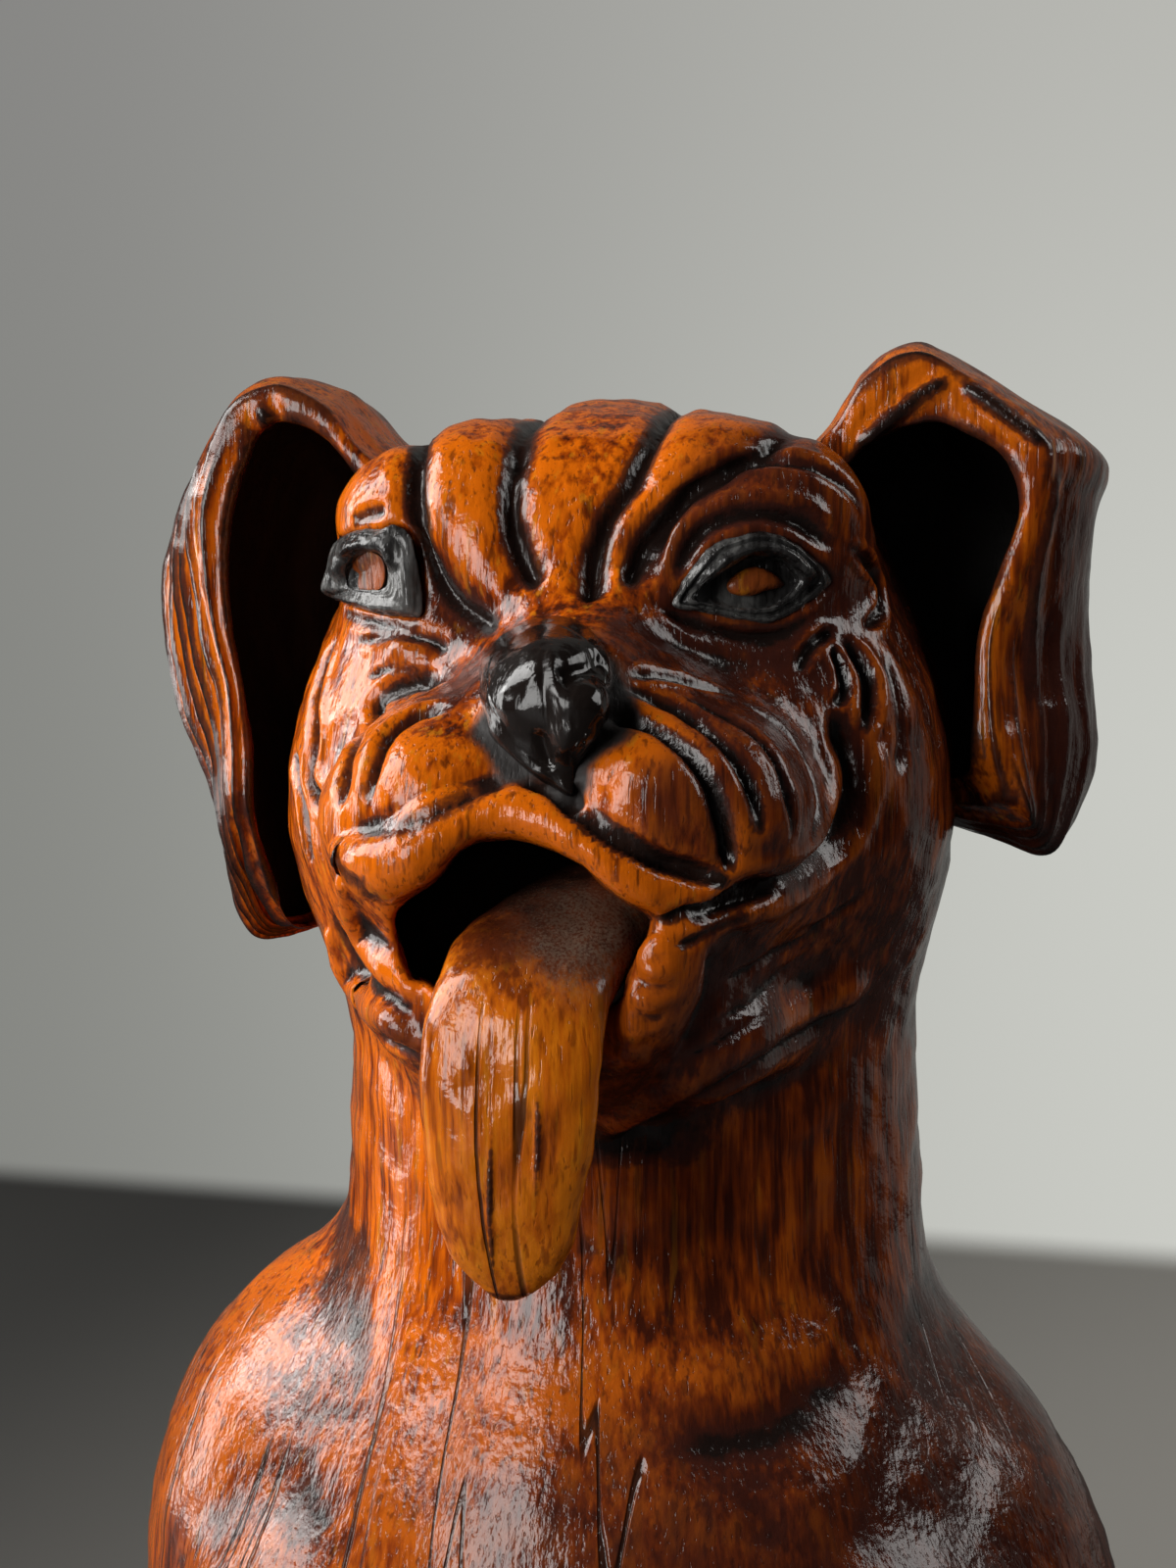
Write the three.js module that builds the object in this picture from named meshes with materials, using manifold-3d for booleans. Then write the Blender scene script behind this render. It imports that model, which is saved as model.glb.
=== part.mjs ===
// A seated dog carved from one log of dark hardwood, with its head raised and its tongue out.
// The ears, tongue, nose, eyes and tail are carved apart, seated on the log and glued on dowels.
// Millimetres, +Z up. The dog faces -Y, so its left side is +X, and the origin is the centre of its base.

import * as THREE from "three";
import { LoftGeometry } from "three/addons/geometries/LoftGeometry.js";
import { mergeVertices } from "three/addons/utils/BufferGeometryUtils.js";
import Module from "manifold-3d";

const wasm = await Module();
wasm.setup();

// Joinery
const GLUE_GAP = 0.3; // between every pair of seated faces
const DOWEL_SIDES = 16;
const LEFT = 1;
const RIGHT = -1;

// The log: where the head, neck and body lie
const HEAD_CENTRE = new THREE.Vector3(-0.5, -8, 188);
const NECK_RADIUS = 29.4;
const CHEST_RADIUS = 33;
const SHOULDER_SPREAD = 33;
const LEFT_SHOULDER = { height: 68, half: [20.5, 25, 44] };
const RIGHT_SHOULDER = { height: 90, half: [21.5, 25, 33] };
const HAUNCH_SPREAD = 37;
const FORELEG_SPREAD = 23;
const FORELEG_RADIUS = 12;
const PAW_HEIGHT = 8;

// The body's masses: a place with half width, half depth and half height, and a blend for the softness
// of its joining
const NECK = { foot: [0, -4, 100], flare: 2, headSteps: [2, -14], blend: 12 };
const CHEST = { place: [0, -14, 90], half: [38, CHEST_RADIUS, 34], blend: 14 };
const SHOULDER = { back: -3, blend: 12 };
const TORSO = { place: [0, 14, 68], half: [43, 42, 62], blend: 16 };
const RUMP = { place: [0, 30, 34], half: [45, 36, 40], blend: 14 };
const HAUNCH = { place: [HAUNCH_SPREAD, 20, 36], half: [22, 36, 36], blend: 7 };
const BELLY = { place: [0, -16, 26], half: [26, 20, 52], blend: 10 };
const FORELEG = {
  elbow: [FORELEG_SPREAD + 3, -27, 84],
  wrist: [FORELEG_SPREAD, -46, 12],
  elbowRadius: 16,
  blend: 7,
};
const FOREPAW = { place: [FORELEG_SPREAD, -54, PAW_HEIGHT], half: [12.5, 16, 9.5], blend: 4 };
const HIND_PAW = { place: [45, -14, PAW_HEIGHT], half: [11.5, 24, 9.5], blend: 4 };

// The head's masses, placed from its centre
const CRANIUM = { place: [0, 0, 0], half: [29.8, 31, 26.5], blend: 9 };
const CHEEK = { place: [17.5, -6, -16], half: [16.5, 22, 20], blend: 9 };
const MUZZLE = { place: [0.5, -28, -20], half: [22, 18, 15], blend: 7 };
const NOSE_BRIDGE = { place: [1.5, -32, -7], half: [9, 11, 8], blend: 7 };
const JOWL = { place: [11, -34, -17], half: [11.5, 11, 10.5], blend: 5 };
const BROW = { place: [14.5, -18, 12.5], half: [11.5, 8.5, 8], blend: 9 };
const JAW = { place: [-1, -26, -35], half: [19, 17, 10], blend: 6 };

// Forehead folds: the grooves between them, as sideways place and angle over the crown from the front
const FOLD_WIDTH = 2.4;
const FOLD_DEPTH = 2.6;
const FOREHEAD_GROOVES = [
  [[-7.1, 1], [-12, 7], [-15, 17], [-15.4, 26], [-16.4, 42], [-18.5, 75], [-19, 105], [-17, 135]],
  [[-3.4, 8], [-5.7, 17], [-6.4, 26], [-6.3, 35], [-7, 60], [-7.6, 95], [-7, 135]],
  [[2, 5], [2.1, 13], [2.9, 21], [5.1, 30], [6.6, 48], [7, 95], [6.5, 135]],
  [[5.3, 8], [7.3, 18], [10.5, 25], [14.2, 30], [18, 38], [20, 70], [20, 105], [18, 135]],
];

// Folds of the muzzle and cheeks, as sideways place and height from the head's centre
const CHEEK_FOLD_WIDTH = 1.7;
const CHEEK_FOLD_DEPTH = 1.3;
const CHEEK_GROOVES = [
  [[-5.8, -4.3], [-11.8, -4.4], [-14.2, -8.3], [-17, -13.1], [-18.3, -17.5]],
  [[5.9, -8.5], [11.6, -8.5], [15.7, -12.3], [16.9, -17.3], [16.3, -21.1]],
  [[7.2, -5.5], [11.7, -4.4], [18, -8.8], [20.4, -14], [20.1, -19.1]],
  [[26, 4], [26.6, -0.9], [25.5, -4.8], [26, -10.3], [24.5, -16.7], [21.7, -22.2], [18.7, -23.8]],
  [[-25.5, 2], [-26, -5], [-25.8, -11], [-24.5, -16.5], [-21.5, -20.5]],
];

// The upper lip: a raised band along its middle line, as sideways place and height from the head's centre
const LIP_LINE = [
  [-19.7, -21.5], [-14.8, -22], [-11.3, -21.5], [-7.5, -18.7], [-4, -17.2], [-0.1, -17.2],
  [4.7, -19.2], [8.8, -21.8], [12.9, -22.8], [16, -23.2], [18.7, -23.8],
];
const LIP_WIDTH = 2.2;
const LIP_RISE = 1.5;

// The mouth
const MOUTH_CENTRE = [-1, -35, -25]; // from the head's centre
const MOUTH_HALF_SIZE = [14.6, 17, 7.2];
const LIP_SLIT_REACH = 18.5; // sideways, from the mouth's middle to each corner
const LIP_SLIT_HALF_HEIGHT = 0.9;
const LIP_SLIT_DEPTH_SHARE = 0.9; // of the mouth's depth
const MOUTH_SIDES = 26;
const MOUTH_RINGS = 16;
const LIP_SLIT_RINGS = 8;

// The nose
const NOSE_CENTRE = [0.5, -42.5, -6]; // from the head's centre
const NOSE_HALF_SIZE = [6.5, 6, 6.4];
const NOSE_CHIN_DROP = 3.2; // how far its point runs down to the lip
const NOSTRIL_RADIUS = 2.1;
const SPIGOT_RADIUS = 2.2;
const SPIGOT_LENGTH = 7;

// The eyes: a place sideways and up from the head's centre, half sizes, and the rise of the outer corner
// in degrees
const EYES = {
  left_eye: { side: LEFT, x: 16.6, z: 5.8, halfLength: 7.8, halfHeight: 4.3, slant: 8 },
  right_eye: { side: RIGHT, x: -20.6, z: 6.2, halfLength: 6, halfHeight: 4.6, slant: 4 },
};
const EYE_SEAT_DEPTH = 3;
const EYE_LID_HEIGHT = 1.3;
const EYE_LID_WIDTH = 1.5;
const IRIS_RADIUS = 2.3;
const IRIS_PEG_RADIUS = 1.2;
const IRIS_HEIGHT = 1.5;

// The tongue: its line as sideways place, forward place and height from the head's centre
const TONGUE_LINE = [
  [4, -22, -26], [2.6, -31, -26.5], [-0.3, -39.5, -29], [-2.6, -44.5, -33.2],
  [-3.4, -45.8, -41], [-3.9, -45, -50], [-4.2, -43.4, -59],
];
const TONGUE_WIDTHS = [13, 14.5, 15.6, 15.8, 15.2, 14, 6];
const TONGUE_THICKNESSES = [10, 10, 8, 6.2, 6.2, 5.8, 3];
const TONGUE_SQUARENESS = 0.82; // between an ellipse at 1 and a box at 0
const TONGUE_DOWEL_RADIUS = 1.5;
const TONGUE_DOWEL_RISE = 0.8; // above the tongue's middle line
const TONGUE_DOWEL_LENGTH = 12;

// The ears: hoods that open forwards. Each line runs round an ear from the crown, as places out and up from
// the head's centre: the rim in front, the outline where the ear is widest, and the edge of the hollow
const EARS = {
  left_ear: {
    side: LEFT,
    rim: [
      [22, 21.5], [25.6, 26.6], [30.8, 29.4], [36, 26.6], [41.8, 22.6], [44, 19], [43.5, 14.5], [41.6, 8],
      [39.3, 1], [39.4, -6], [40.6, -12], [42, -17.5], [38, -17.6], [32, -16.5], [20, -13], [12, 9],
    ],
    outline: [
      [22, 24], [26, 30.5], [31.4, 32.3], [38, 28.4], [45.9, 23.3], [50.2, 19.6], [49, 14.5], [48.3, 6],
      [48.4, -2], [49.3, -9.9], [47.8, -15.5], [44.3, -21.4], [39.5, -20.2], [33, -18.2], [20, -14], [11, 9],
    ],
    hollow: [
      [23, 17], [26.5, 20.3], [31.8, 22.2], [35.6, 21], [38.9, 19], [40.4, 16.7], [41, 12.9], [39.4, 7.6],
      [37, 1.5], [36.6, -5], [36.3, -9.5], [35.8, -12.6], [33, -13.5], [29, -13.5], [19, -10], [14, 8],
    ],
    setBack: [0, 0, 0, 0, 0, 0, 0, 0, 0, 0, 0, 2, 6, 8, 6, 0],
  },
  right_ear: {
    side: RIGHT,
    rim: [
      [27.5, 22], [31.5, 26.3], [36.5, 28.5], [41.5, 26], [44.5, 20], [45.6, 14.3], [44.8, 7.7], [43.6, 1.1],
      [42.2, -4.2], [41.8, -10], [41.6, -16.5], [41.2, -23], [40.4, -29.3], [35, -27], [24, -20], [14, 5],
    ],
    outline: [
      [27.5, 25.4], [33.5, 30.2], [39.6, 31.2], [44.5, 28.5], [49.4, 19.9], [52.4, 12.9], [53.4, 6.8],
      [52.9, -0.2], [50.9, -7.8], [47.4, -15], [45.4, -24], [44.3, -29.8], [42, -31.4], [36, -29.3],
      [24, -22], [12, 5],
    ],
    hollow: [
      [28, 19], [31, 22.5], [34.5, 24.2], [37.6, 23.8], [39.6, 20.5], [41.4, 15.2], [41.9, 9.4], [41.4, 3],
      [40, -3.4], [39.2, -10], [38.8, -17.5], [38.4, -25], [37.6, -30], [32, -27], [22, -18], [15, 5],
    ],
    setBack: [0, 0, 0, 0, 0, 0, 0, 0, 0, 0, 0, 5, 12, 19, 14, 0],
  },
};
const EAR_MIDDLE = [34, 4]; // out and up, where the sections shrink to
const EAR_FRONT = -9; // behind the head's centre, as the next three
const EAR_WIDEST = 6;
const EAR_BACK = 25;
const EAR_HOLLOW_BACK = 16;
const EAR_AROUND = 48;
const EAR_DOWEL_RADIUS = 1.5;
const EAR_DOWEL_LENGTH = 12;
const EAR_DOWEL_BACK = 20.5; // behind the head's centre
const EAR_DOWEL_HEIGHTS = { upper: 8, lower: -2 }; // from the head's centre

// The tail: its line as sideways place and height above the middle of its seat
const TAIL_SEAT_HEIGHT = 17;
const TAIL_LINE = [[0, 0], [2, 4], [8, 6], [15, 11], [18, 23], [13, 34], [5, 37]];
const TAIL_RADII = [7.5, 7.2, 6.8, 6.4, 5.6, 4.4, 2.6];
const TAIL_STAND_OFF = -0.5; // from the rump to the tail's middle line
const TAIL_STUB = 8;
const TAIL_SIDES = 16;
const TAIL_DOWEL_RADIUS = 2.2;
const TAIL_DOWEL_REACH = { inward: 8, outward: 4.5 }; // from the seat

// How finely the log is faceted: heights between rings, from the base up
const LOG_SIDES = 70;
const FRONT_CROWDING = 0.42; // share by which the sides crowd towards the face
const PAW_STEP = 3;
const PAWS_TOP = 18;
const BODY_STEP = 9;
const BODY_TOP = 90;
const SHOULDER_STEP = 5.75;
const FACE_BOTTOM = 136;
const LEAN = { from: FACE_BOTTOM - 30, to: FACE_BOTTOM + 10 }; // where the rings' middles move to the head's
const FACE_STEP = 2.3;
const CROWN_STEPS = 17;
const FAR = 110; // beyond every surface, from the log's middle

const rad = THREE.MathUtils.degToRad;

// A mass of the carving: an ellipsoid with its centre, half sizes and the softness of its joining.
function ball({ place, half, blend }) {
  const [a, b, c] = half;
  return {
    blend,
    distance(p) {
      const x = p.x - place[0];
      const y = p.y - place[1];
      const z = p.z - place[2];
      const scaled = Math.hypot(x / a, y / b, z / c);
      const slope = Math.hypot(x / (a * a), y / (b * b), z / (c * c));
      return slope < 1e-9 ? -Math.min(a, b, c) : (scaled * (scaled - 1)) / slope;
    },
  };
}

// A limb of the carving: a round bar that tapers from one end to the other.
function limb(from, to, fromRadius, toRadius, blend) {
  const start = new THREE.Vector3(...from);
  const along = new THREE.Vector3(...to).sub(start);
  const reach = new THREE.Vector3();
  return {
    blend,
    distance(p) {
      const share = THREE.MathUtils.clamp(reach.copy(p).sub(start).dot(along) / along.lengthSq(), 0, 1);
      const radius = THREE.MathUtils.lerp(fromRadius, toRadius, share);
      return reach.addScaledVector(along, -share).length() - radius;
    },
  };
}

// A point of the head, from its centre.
const onHead = ([x, y, z]) => [HEAD_CENTRE.x + x, HEAD_CENTRE.y + y, HEAD_CENTRE.z + z];

// The same thing made for the left side and for the right.
const pair = (make) => [LEFT, RIGHT].map(make);

// A point moved to a side.
const sided = (side, [x, y, z]) => [side * x, y, z];

// A mass of the head, and the same for one side of the head or the body.
const headBall = (mass) => ball({ ...mass, place: onHead(mass.place) });
const sideBall = (mass, side) => ball({ ...mass, place: sided(side, mass.place) });
const headSideBall = (mass, side) => ball({ ...mass, place: onHead(sided(side, mass.place)) });

// A shoulder, which hangs lower on the left.
function shoulder(side, { height, half }) {
  return ball({ place: [side * SHOULDER_SPREAD, SHOULDER.back, height], half, blend: SHOULDER.blend });
}

const HEAD_MASSES = [
  headBall(CRANIUM),
  ...pair((side) => headSideBall(CHEEK, side)),
  headBall(MUZZLE),
  headBall(NOSE_BRIDGE),
  ...pair((side) => headSideBall(JOWL, side)),
  ...pair((side) => headSideBall(BROW, side)),
  headBall(JAW),
];

const BODY_MASSES = [
  limb(
    NECK.foot,
    onHead([-HEAD_CENTRE.x, ...NECK.headSteps]),
    NECK_RADIUS + NECK.flare,
    NECK_RADIUS,
    NECK.blend,
  ),
  ball(CHEST),
  shoulder(LEFT, LEFT_SHOULDER),
  shoulder(RIGHT, RIGHT_SHOULDER),
  ball(TORSO),
  ball(RUMP),
  ...pair((side) => sideBall(HAUNCH, side)),
  ball(BELLY),
  ...pair((side) => {
    const { elbow, wrist, elbowRadius, blend } = FORELEG;
    return limb(sided(side, elbow), sided(side, wrist), elbowRadius, FORELEG_RADIUS, blend);
  }),
  ...pair((side) => sideBall(FOREPAW, side)),
  ...pair((side) => sideBall(HIND_PAW, side)),
];

const MASSES = [...BODY_MASSES, ...HEAD_MASSES];

// How far a point lies outside the smooth masses of the log, before any groove.
function massField(p) {
  let outside = Infinity;
  for (const mass of MASSES) {
    const next = mass.distance(p);
    const overlap = Math.max(mass.blend - Math.abs(outside - next), 0) / mass.blend;
    const softening = Number.isFinite(outside) ? (overlap * overlap * mass.blend) / 4 : 0;
    outside = Math.min(outside, next) - softening;
  }
  return outside;
}

// The outermost point of a field along a ray, at a given distance outside its skin.
function skinPoint(field, origin, direction, level = 0) {
  const at = new THREE.Vector3();
  const valueAt = (reach) => field(at.copy(origin).addScaledVector(direction, reach)) - level;
  let reach = FAR;
  let value = valueAt(reach);
  while (value > 0.01 && reach > 0.5) {
    reach -= Math.max(0.02, 0.6 * value);
    value = valueAt(reach);
  }
  return at.copy(origin).addScaledVector(direction, reach).clone();
}

// The skin point at a sideways place and an angle over the crown, from 0 at the front to 90 on top.
function overCrown([x, degrees]) {
  const angle = rad(degrees);
  const origin = new THREE.Vector3(HEAD_CENTRE.x + x, HEAD_CENTRE.y, HEAD_CENTRE.z);
  return skinPoint(massField, origin, new THREE.Vector3(0, -Math.cos(angle), Math.sin(angle)));
}

// The skin point seen from the front at a sideways place and a height from the head's centre.
function onFace([x, z]) {
  const origin = new THREE.Vector3(HEAD_CENTRE.x + x, HEAD_CENTRE.y, HEAD_CENTRE.z + z);
  return skinPoint(massField, origin, new THREE.Vector3(0, -1, 0));
}

// A groove cut along a smooth line through points on the skin, or a raised band if its depth is negative.
function groove(points, width, depth) {
  const line = new THREE.CatmullRomCurve3(points).getPoints(points.length * 5);
  const bounds = new THREE.Box3().setFromPoints(line).expandByScalar(width * 3);
  return (p) => {
    if (!bounds.containsPoint(p)) return 0;
    let nearest = Infinity;
    for (const q of line) nearest = Math.min(nearest, q.distanceToSquared(p));
    return depth * Math.exp(-nearest / (width * width));
  };
}

const GROOVES = [
  ...FOREHEAD_GROOVES.map((line) => groove(line.map(overCrown), FOLD_WIDTH, FOLD_DEPTH)),
  ...CHEEK_GROOVES.map((line) => groove(line.map(onFace), CHEEK_FOLD_WIDTH, CHEEK_FOLD_DEPTH)),
  groove(LIP_LINE.map(onFace), LIP_WIDTH, -LIP_RISE),
];

// How far a point lies outside the carved log.
function logField(p) {
  return GROOVES.reduce((outside, cut) => outside + cut(p), massField(p));
}

// A closed geometry as a solid.
function solid(geometry) {
  const bare = new THREE.BufferGeometry();
  bare.setAttribute("position", geometry.attributes.position);
  bare.setIndex(geometry.index);
  const merged = mergeVertices(bare, 1e-4);
  const made = new wasm.Manifold(
    new wasm.Mesh({
      numProp: 3,
      vertProperties: merged.attributes.position.array,
      triVerts: new Uint32Array(merged.index.array),
    }),
  );
  if (made.volume() < 0) throw new Error("a shape is inside out");
  return made;
}

// A solid back as a geometry with flat facets.
function geometryOf(made) {
  const mesh = made.getMesh();
  const geometry = new THREE.BufferGeometry();
  geometry.setAttribute("position", new THREE.BufferAttribute(mesh.vertProperties, 3));
  geometry.setIndex(new THREE.BufferAttribute(mesh.triVerts, 1));
  const flat = geometry.toNonIndexed();
  flat.computeVertexNormals();
  return flat;
}

const loft = (sections) => solid(new LoftGeometry(sections, { capStart: true, capEnd: true }));

// A round bar between two points.
function bar(from, to, radius) {
  const along = to.clone().sub(from);
  const geometry = new THREE.CylinderGeometry(radius, radius, along.length(), DOWEL_SIDES);
  const upright = new THREE.Vector3(0, 1, 0);
  const turn = new THREE.Quaternion().setFromUnitVectors(upright, along.clone().normalize());
  geometry.applyQuaternion(turn);
  geometry.translate(...from.clone().add(to).multiplyScalar(0.5));
  return solid(geometry);
}

// An ellipsoid as a solid.
function ellipsoid(centre, half, around = 32, high = 20) {
  const geometry = new THREE.SphereGeometry(1, around, high);
  geometry.scale(...half);
  geometry.translate(...centre);
  return solid(geometry);
}

// The stations of the log's rings, bottom to top: a height, and the angle at which its rays rise.
function logStations() {
  const stations = [];
  const rise = (from, to, step) => {
    const rings = Math.max(1, Math.round((to - from) / step));
    for (let i = 0; i < rings; i++) stations.push([THREE.MathUtils.lerp(from, to, i / rings), 0]);
  };
  rise(0, PAWS_TOP, PAW_STEP);
  rise(PAWS_TOP, BODY_TOP, BODY_STEP);
  rise(BODY_TOP, FACE_BOTTOM, SHOULDER_STEP);
  rise(FACE_BOTTOM, HEAD_CENTRE.z, FACE_STEP);
  for (let i = 0; i < CROWN_STEPS; i++) stations.push([HEAD_CENTRE.z, (88 * i) / (CROWN_STEPS - 1)]);
  return stations;
}

// The log's skin, or the same form grown outwards by a gap.
function logSkin(level) {
  const sections = logStations().map(([z, rise]) => {
    const forward = THREE.MathUtils.smoothstep(z, LEAN.from, LEAN.to) * HEAD_CENTRE.y;
    const origin = new THREE.Vector3(0, forward, z);
    const ring = [];
    for (let j = 0; j < LOG_SIDES; j++) {
      const even = (2 * Math.PI * j) / LOG_SIDES;
      const around = even - FRONT_CROWDING * Math.sin(even);
      const flat = Math.cos(rad(rise));
      const direction = new THREE.Vector3(
        Math.sin(around) * flat,
        -Math.cos(around) * flat,
        Math.sin(rad(rise)),
      );
      ring.push(skinPoint(logField, origin, direction, level));
    }
    return ring;
  });
  return loft(sections);
}

// The hollow of the mouth with the slits to its corners, less a margin on every side.
function mouthHollow(margin) {
  const centre = onHead(MOUTH_CENTRE);
  const slitHalf = [LIP_SLIT_REACH, MOUTH_HALF_SIZE[1] * LIP_SLIT_DEPTH_SHARE, LIP_SLIT_HALF_HEIGHT];
  const shape = (half, rings) => ellipsoid(centre, half.map((size) => size - margin), MOUTH_SIDES, rings);
  return shape(MOUTH_HALF_SIZE, MOUTH_RINGS).add(shape(slitHalf, LIP_SLIT_RINGS));
}

// Sections across a line, each made from its place, its sideways direction and its face direction.
function sectionsAlong(line, sideways, shape) {
  const curve = new THREE.CatmullRomCurve3(line);
  const count = (line.length - 1) * 3;
  const sections = [];
  for (let i = 0; i <= count; i++) {
    const share = i / count;
    const tangent = curve.getTangent(share);
    const face = new THREE.Vector3().crossVectors(sideways, tangent).normalize();
    const across = new THREE.Vector3().crossVectors(tangent, face).normalize();
    sections.push(shape(share, curve.getPoint(share), across, face));
  }
  return sections;
}

// A value at a share of the way along evenly spaced stations, rounded between them.
function alongStations(values, share) {
  const curve = new THREE.SplineCurve(values.map((value, i) => new THREE.Vector2(i, value)));
  return curve.getPoint(share).y;
}

// A mix of two values, or of two lists of them.
function mixed(from, to, share) {
  if (Array.isArray(from)) return from.map((value, i) => mixed(value, to[i], share));
  return THREE.MathUtils.lerp(from, to, share);
}

// A ring round an ear: a line scaled to the ear's middle, at its own depths behind the head's centre.
function earRing(side, line, depths, scale) {
  const corners = line.map((place, i) => {
    const [out, up] = mixed(EAR_MIDDLE, place, scale);
    return new THREE.Vector3(side * out, depths[i], up).add(HEAD_CENTRE);
  });
  const ring = new THREE.CatmullRomCurve3(corners, true).getPoints(EAR_AROUND).slice(0, -1);
  return side > 0 ? ring : ring.reverse();
}

// The solid form of an ear, from its rim over its widest outline to its rounded back.
function earBlock({ side, rim, outline, setBack }) {
  const front = setBack.map((step) => EAR_FRONT + step);
  const widest = front.map((depth) => Math.max(EAR_WIDEST, depth + 4));
  const back = front.map(() => EAR_BACK);
  const forwards = [[0, 0, 0.98], [0.1, 0.12, 1], [0.4, 0.6, 1], [0.7, 0.9, 1], [1, 1, 1]];
  const backwards = [[0.35, 0.97], [0.6, 0.89], [0.82, 0.76], [0.95, 0.6], [1, 0.45]];
  return loft([
    ...forwards.map(([depth, share, scale]) =>
      earRing(side, mixed(rim, outline, share), mixed(front, widest, depth), scale)),
    ...backwards.map(([depth, scale]) => earRing(side, outline, mixed(widest, back, depth), scale)),
  ]);
}

// The hollow of an ear, which widens a little behind its rim.
function earHollow({ side, outline, hollow, setBack }) {
  const front = setBack.map((step) => EAR_FRONT + step);
  const deep = front.map(() => EAR_HOLLOW_BACK);
  const before = front.map((depth) => depth - 6);
  const steps = [[0.3, 0.3, 1], [0.55, 0.42, 0.98], [0.8, 0.36, 0.88], [0.95, 0.3, 0.7], [1, 0.2, 0.4]];
  return loft([
    earRing(side, hollow, before, 1),
    earRing(side, hollow, front, 1),
    ...steps.map(([depth, share, scale]) =>
      earRing(side, mixed(hollow, outline, share), mixed(front, deep, depth), scale)),
  ]);
}

// A dowel of an ear, from the back of the head's side out into the thick back of the hood.
function earDowel({ side }, height, radius, length) {
  const origin = new THREE.Vector3(0, EAR_DOWEL_BACK, height).add(HEAD_CENTRE);
  const seat = skinPoint(massField, origin, new THREE.Vector3(side, 0, 0));
  const half = new THREE.Vector3(length / 2, 0, 0);
  return bar(seat.clone().sub(half), seat.clone().add(half), radius);
}

const TONGUE_ACROSS = 8;

// The tongue before it is cut to the mouth: a rounded band, a little hollow along its middle.
function tongueBand() {
  const line = TONGUE_LINE.map((point) => new THREE.Vector3(...onHead(point)));
  const sections = sectionsAlong(line, new THREE.Vector3(1, 0, 0), (share, place, across, face) => {
    const width = alongStations(TONGUE_WIDTHS, share);
    const thickness = alongStations(TONGUE_THICKNESSES, share);
    const ring = [];
    for (let i = 0; i < 2 * TONGUE_ACROSS; i++) {
      const angle = (Math.PI * i) / TONGUE_ACROSS;
      const c = Math.sign(Math.cos(angle)) * Math.abs(Math.cos(angle)) ** TONGUE_SQUARENESS;
      const s = Math.sign(Math.sin(angle)) * Math.abs(Math.sin(angle)) ** TONGUE_SQUARENESS;
      ring.push(
        place.clone().addScaledVector(across, (c * width) / 2).addScaledVector(face, (-s * thickness) / 2),
      );
    }
    return ring;
  });
  return loft(sections);
}

// The dowel that comes up through the jaw into the tongue's root.
function tongueDowel(radius, length) {
  const root = new THREE.Vector3(...onHead(TONGUE_LINE[1]));
  const top = root.clone().add(new THREE.Vector3(0, 0, TONGUE_DOWEL_RISE));
  return bar(top.clone().add(new THREE.Vector3(0, 0, -length)), top, radius);
}

// The nose ball with its point drawn down to the lip.
function noseBall() {
  const [a, b, c] = NOSE_HALF_SIZE;
  const centre = onHead(NOSE_CENTRE);
  const geometry = new THREE.SphereGeometry(1, 24, 18);
  const places = geometry.attributes.position;
  for (let i = 0; i < places.count; i++) {
    const p = new THREE.Vector3().fromBufferAttribute(places, i);
    const low = THREE.MathUtils.smoothstep(-p.z, 0, 1);
    places.setXYZ(
      i,
      p.x * a * (1 - 0.55 * low),
      p.y * b * (1 - 0.15 * low),
      p.z * c - NOSE_CHIN_DROP * low,
    );
  }
  geometry.translate(...centre);
  return solid(geometry);
}

// The round spigot that holds the nose, from inside the ball back into the muzzle.
function noseSpigot(radius, length) {
  const centre = new THREE.Vector3(...onHead(NOSE_CENTRE));
  const skin = skinPoint(massField, centre.clone().setY(HEAD_CENTRE.y), new THREE.Vector3(0, -1, 0));
  return bar(centre, skin.clone().add(new THREE.Vector3(0, length, 0)), radius);
}

function nostrils() {
  const [x, y, z] = NOSE_CENTRE;
  const [a, b] = NOSE_HALF_SIZE;
  return pair((side) =>
    ellipsoid(
      onHead([x + side * a * 0.52, y - b * 0.86, z - 0.6]),
      [NOSTRIL_RADIUS, 2, NOSTRIL_RADIUS * 1.25],
      14,
      10,
    ),
  );
}

// The frame of an eye: its place on the face, and its directions to the dog's left, up and outwards.
function eyeFrame({ side, x, z, halfLength, halfHeight, slant }) {
  const across = onFace([x + halfLength * 0.6, z]).sub(onFace([x - halfLength * 0.6, z]));
  const upwards = onFace([x, z + halfHeight * 0.6]).sub(onFace([x, z - halfHeight * 0.6]));
  const outwards = across.clone().cross(upwards).normalize();
  const along = across.normalize().applyAxisAngle(outwards, rad(slant) * side);
  const up = outwards.clone().cross(along);
  return new THREE.Matrix4().makeBasis(along, up, outwards).setPosition(onFace([x, z]));
}

const EYE_AROUND = 26;

// A block with an eye's almond outline, from sections that are each a growth of it and a height outwards.
function almondBlock(eye, frame, steps) {
  const sections = steps.map(([growth, height]) => {
    const ring = [];
    for (let i = 0; i < EYE_AROUND; i++) {
      const angle = (2 * Math.PI * i) / EYE_AROUND;
      const c = Math.cos(angle);
      const s = Math.sin(angle);
      const x = (eye.halfLength + growth) * Math.sign(c) * Math.abs(c) ** 0.85;
      const y = (eye.halfHeight + growth) * Math.sign(s) * Math.abs(s) ** 1.2;
      ring.push(new THREE.Vector3(x, y, height).applyMatrix4(frame));
    }
    return ring;
  });
  return loft(sections);
}

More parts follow.
